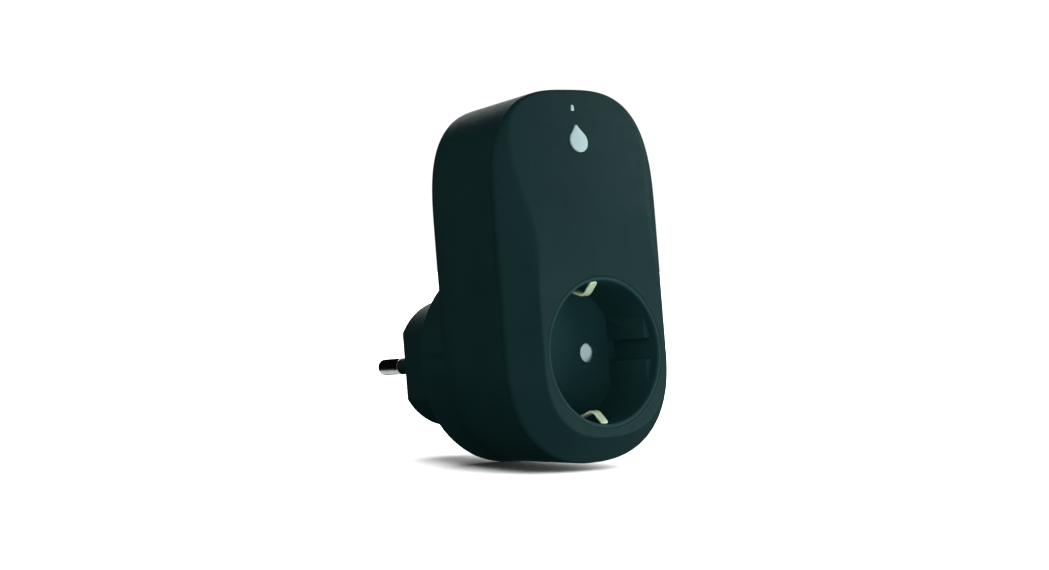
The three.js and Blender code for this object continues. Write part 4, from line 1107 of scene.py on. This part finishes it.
LIGHT_AIM = Vector((0, -0.04, 0.02))
WORLD_STRENGTH = 0.22
BACKGROUND_STRENGTH = 1.05
FLOOR_TILT = 1.1
FLOOR_CLEARANCE = 0.02
FLOOR_SUN_STRENGTH = 12.0
FLOOR_SUN_ANGLE = 120
FLOOR_SUN_LEAN = 0.7
FLOOR_REACH = 4


def stage_floor():
    """A white floor under the body, square to the picture and tilted a little to the camera."""
    turn = camera.matrix_world.to_3x3()
    across = turn @ Vector((1, 0, 0))
    tilt = math.radians(FLOOR_TILT)
    up = turn @ Vector((0, math.cos(tilt), math.sin(tilt)))
    along = up.cross(across)
    body = [frame["nodes"][node].data.vertices for node in ("front_cover", "main_housing")]
    lowest = min(up.dot(vertex.co) for vertices in body for vertex in vertices)
    middle = up * (lowest - FLOOR_CLEARANCE * MM)
    corners = [
        middle + (across * u + along * v) * FLOOR_REACH
        for u, v in ((-1, -1), (1, -1), (1, 1), (-1, 1))
    ]
    mesh = bpy.data.meshes.new("floor")
    mesh.from_pydata(corners, [], [(0, 1, 2, 3)])
    look = Shader("floor_paper", 0.9, specular=0.1)
    stops = [(0.3, (0.86, 0.87, 0.87)), (0.7, (0.88, 0.88, 0.88))]
    look.colour(look.ramp(look.noise(60, 2), stops))
    mesh.materials.append(look.material)
    floor = bpy.data.objects.new("floor", mesh)
    bpy.context.collection.objects.link(floor)
    floor.visible_diffuse = False
    floor.visible_glossy = False
    floor.visible_shadow = False
    return floor


def area_light(name, azimuth, elevation, distance, size, power, pieces):
    """A square soft light seen from the object at an azimuth (0 is straight in front, 90 is +X)."""
    data = bpy.data.lights.new(name, "AREA")
    data.shape = "RECTANGLE"
    data.size = data.size_y = size
    data.energy = power
    light = bpy.data.objects.new(name, data)
    bpy.context.collection.objects.link(light)
    turn, rise = math.radians(azimuth), math.radians(elevation)
    direction = Vector((
        math.sin(turn) * math.cos(rise), -math.cos(turn) * math.cos(rise), math.sin(rise),
    ))
    light.location = LIGHT_AIM + direction * distance
    light.rotation_euler = direction.to_track_quat("Z", "Y").to_euler()
    light.visible_camera = False
    light_only(light, pieces)


def floor_sun(floor):
    """A broad light straight above the floor that draws the soft shadow under the body."""
    data = bpy.data.lights.new("floor_sun", "SUN")
    data.energy = FLOOR_SUN_STRENGTH
    data.angle = math.radians(FLOOR_SUN_ANGLE)
    light = bpy.data.objects.new("floor_sun", data)
    bpy.context.collection.objects.link(light)
    across = camera.matrix_world.to_3x3() @ Vector((1, 0, 0))
    direction = floor.data.polygons[0].normal + FLOOR_SUN_LEAN * across
    light.rotation_euler = direction.to_track_quat("Z", "Y").to_euler()
    light_only(light, [floor])


def light_only(light, pieces):
    """The light falls on these pieces alone, while everything still casts its shadow."""
    receivers = bpy.data.collections.new(f"{light.name}_receivers")
    for piece in pieces:
        receivers.objects.link(piece)
    light.light_linking.receiver_collection = receivers


def world(strength):
    """Pale surroundings in front of the object that darken behind it. The camera sees white."""
    scene_world = bpy.data.worlds.new("studio")
    scene_world.use_nodes = True
    tree = scene_world.node_tree
    direction = tree.nodes.new("ShaderNodeSeparateXYZ")
    around = tree.nodes.new("ShaderNodeTexCoord").outputs["Generated"]
    tree.links.new(around, direction.inputs["Vector"])
    fade = tree.nodes.new("ShaderNodeMapRange")
    limits = (("From Min", -0.5), ("From Max", 0.5), ("To Min", strength), ("To Max", 0.0))
    for name, value in limits:
        fade.inputs[name].default_value = value
    tree.links.new(direction.outputs["Y"], fade.inputs["Value"])
    shown = tree.nodes.new("ShaderNodeMath")
    shown.operation = "MULTIPLY_ADD"
    shown.inputs[1].default_value = BACKGROUND_STRENGTH
    camera_ray = tree.nodes.new("ShaderNodeLightPath").outputs["Is Camera Ray"]
    tree.links.new(camera_ray, shown.inputs[0])
    tree.links.new(fade.outputs["Result"], shown.inputs[2])
    tree.links.new(shown.outputs["Value"], tree.nodes["Background"].inputs["Strength"])
    tree.nodes["Background"].inputs["Color"].default_value = (1, 1, 1, 1)
    bpy.context.scene.world = scene_world
    bpy.context.scene.view_settings.view_transform = "Standard"


pieces = [thing for thing in bpy.data.objects if thing.type == "MESH"]
pins = [piece for piece in pieces if piece.name.startswith("pin_")]
clips = [piece for piece in pieces if piece.name.startswith("clip_")]
plastics = [piece for piece in pieces if piece not in pins]
floor = stage_floor()
world(WORLD_STRENGTH)
shutters = [frame["nodes"]["shutter"]]
# Angles are in degrees, distances and sizes in metres, powers in watts.
for name, azimuth, elevation, distance, size, power, lit in (
    ("front_right_low", 50, -20, 0.3, 0.14, 0.36, plastics),
    ("front_right_high", 65, 25, 0.3, 0.14, 0.22, plastics),
    ("front_low", 0, -30, 1.0, 0.7, 1.9, plastics),
    ("left_high", -60, 20, 1.0, 0.7, 1.5, plastics),
    ("left_front", -30, 0, 1.0, 0.7, 1.1, plastics),
    ("left_back", -120, 20, 1.0, 0.7, 1.0, plastics),
    ("back", 140, 25, 1.0, 0.7, 5.0, plastics),
    ("pins_below", 180, -38, 1.0, 0.8, 1.5, pins),
    ("pins_above", 0, 75, 1.0, 0.5, 3.0, pins),
    ("clips_front", 5, 0, 1.0, 0.5, 0.8, clips),
    ("clips_left", -45, 0, 1.0, 0.5, 15.0, clips),
    ("shutter_front", 5, 0, 1.0, 0.5, 1.9, shutters),
):
    area_light(name, azimuth, elevation, distance, size, power, lit)
floor_sun(floor)
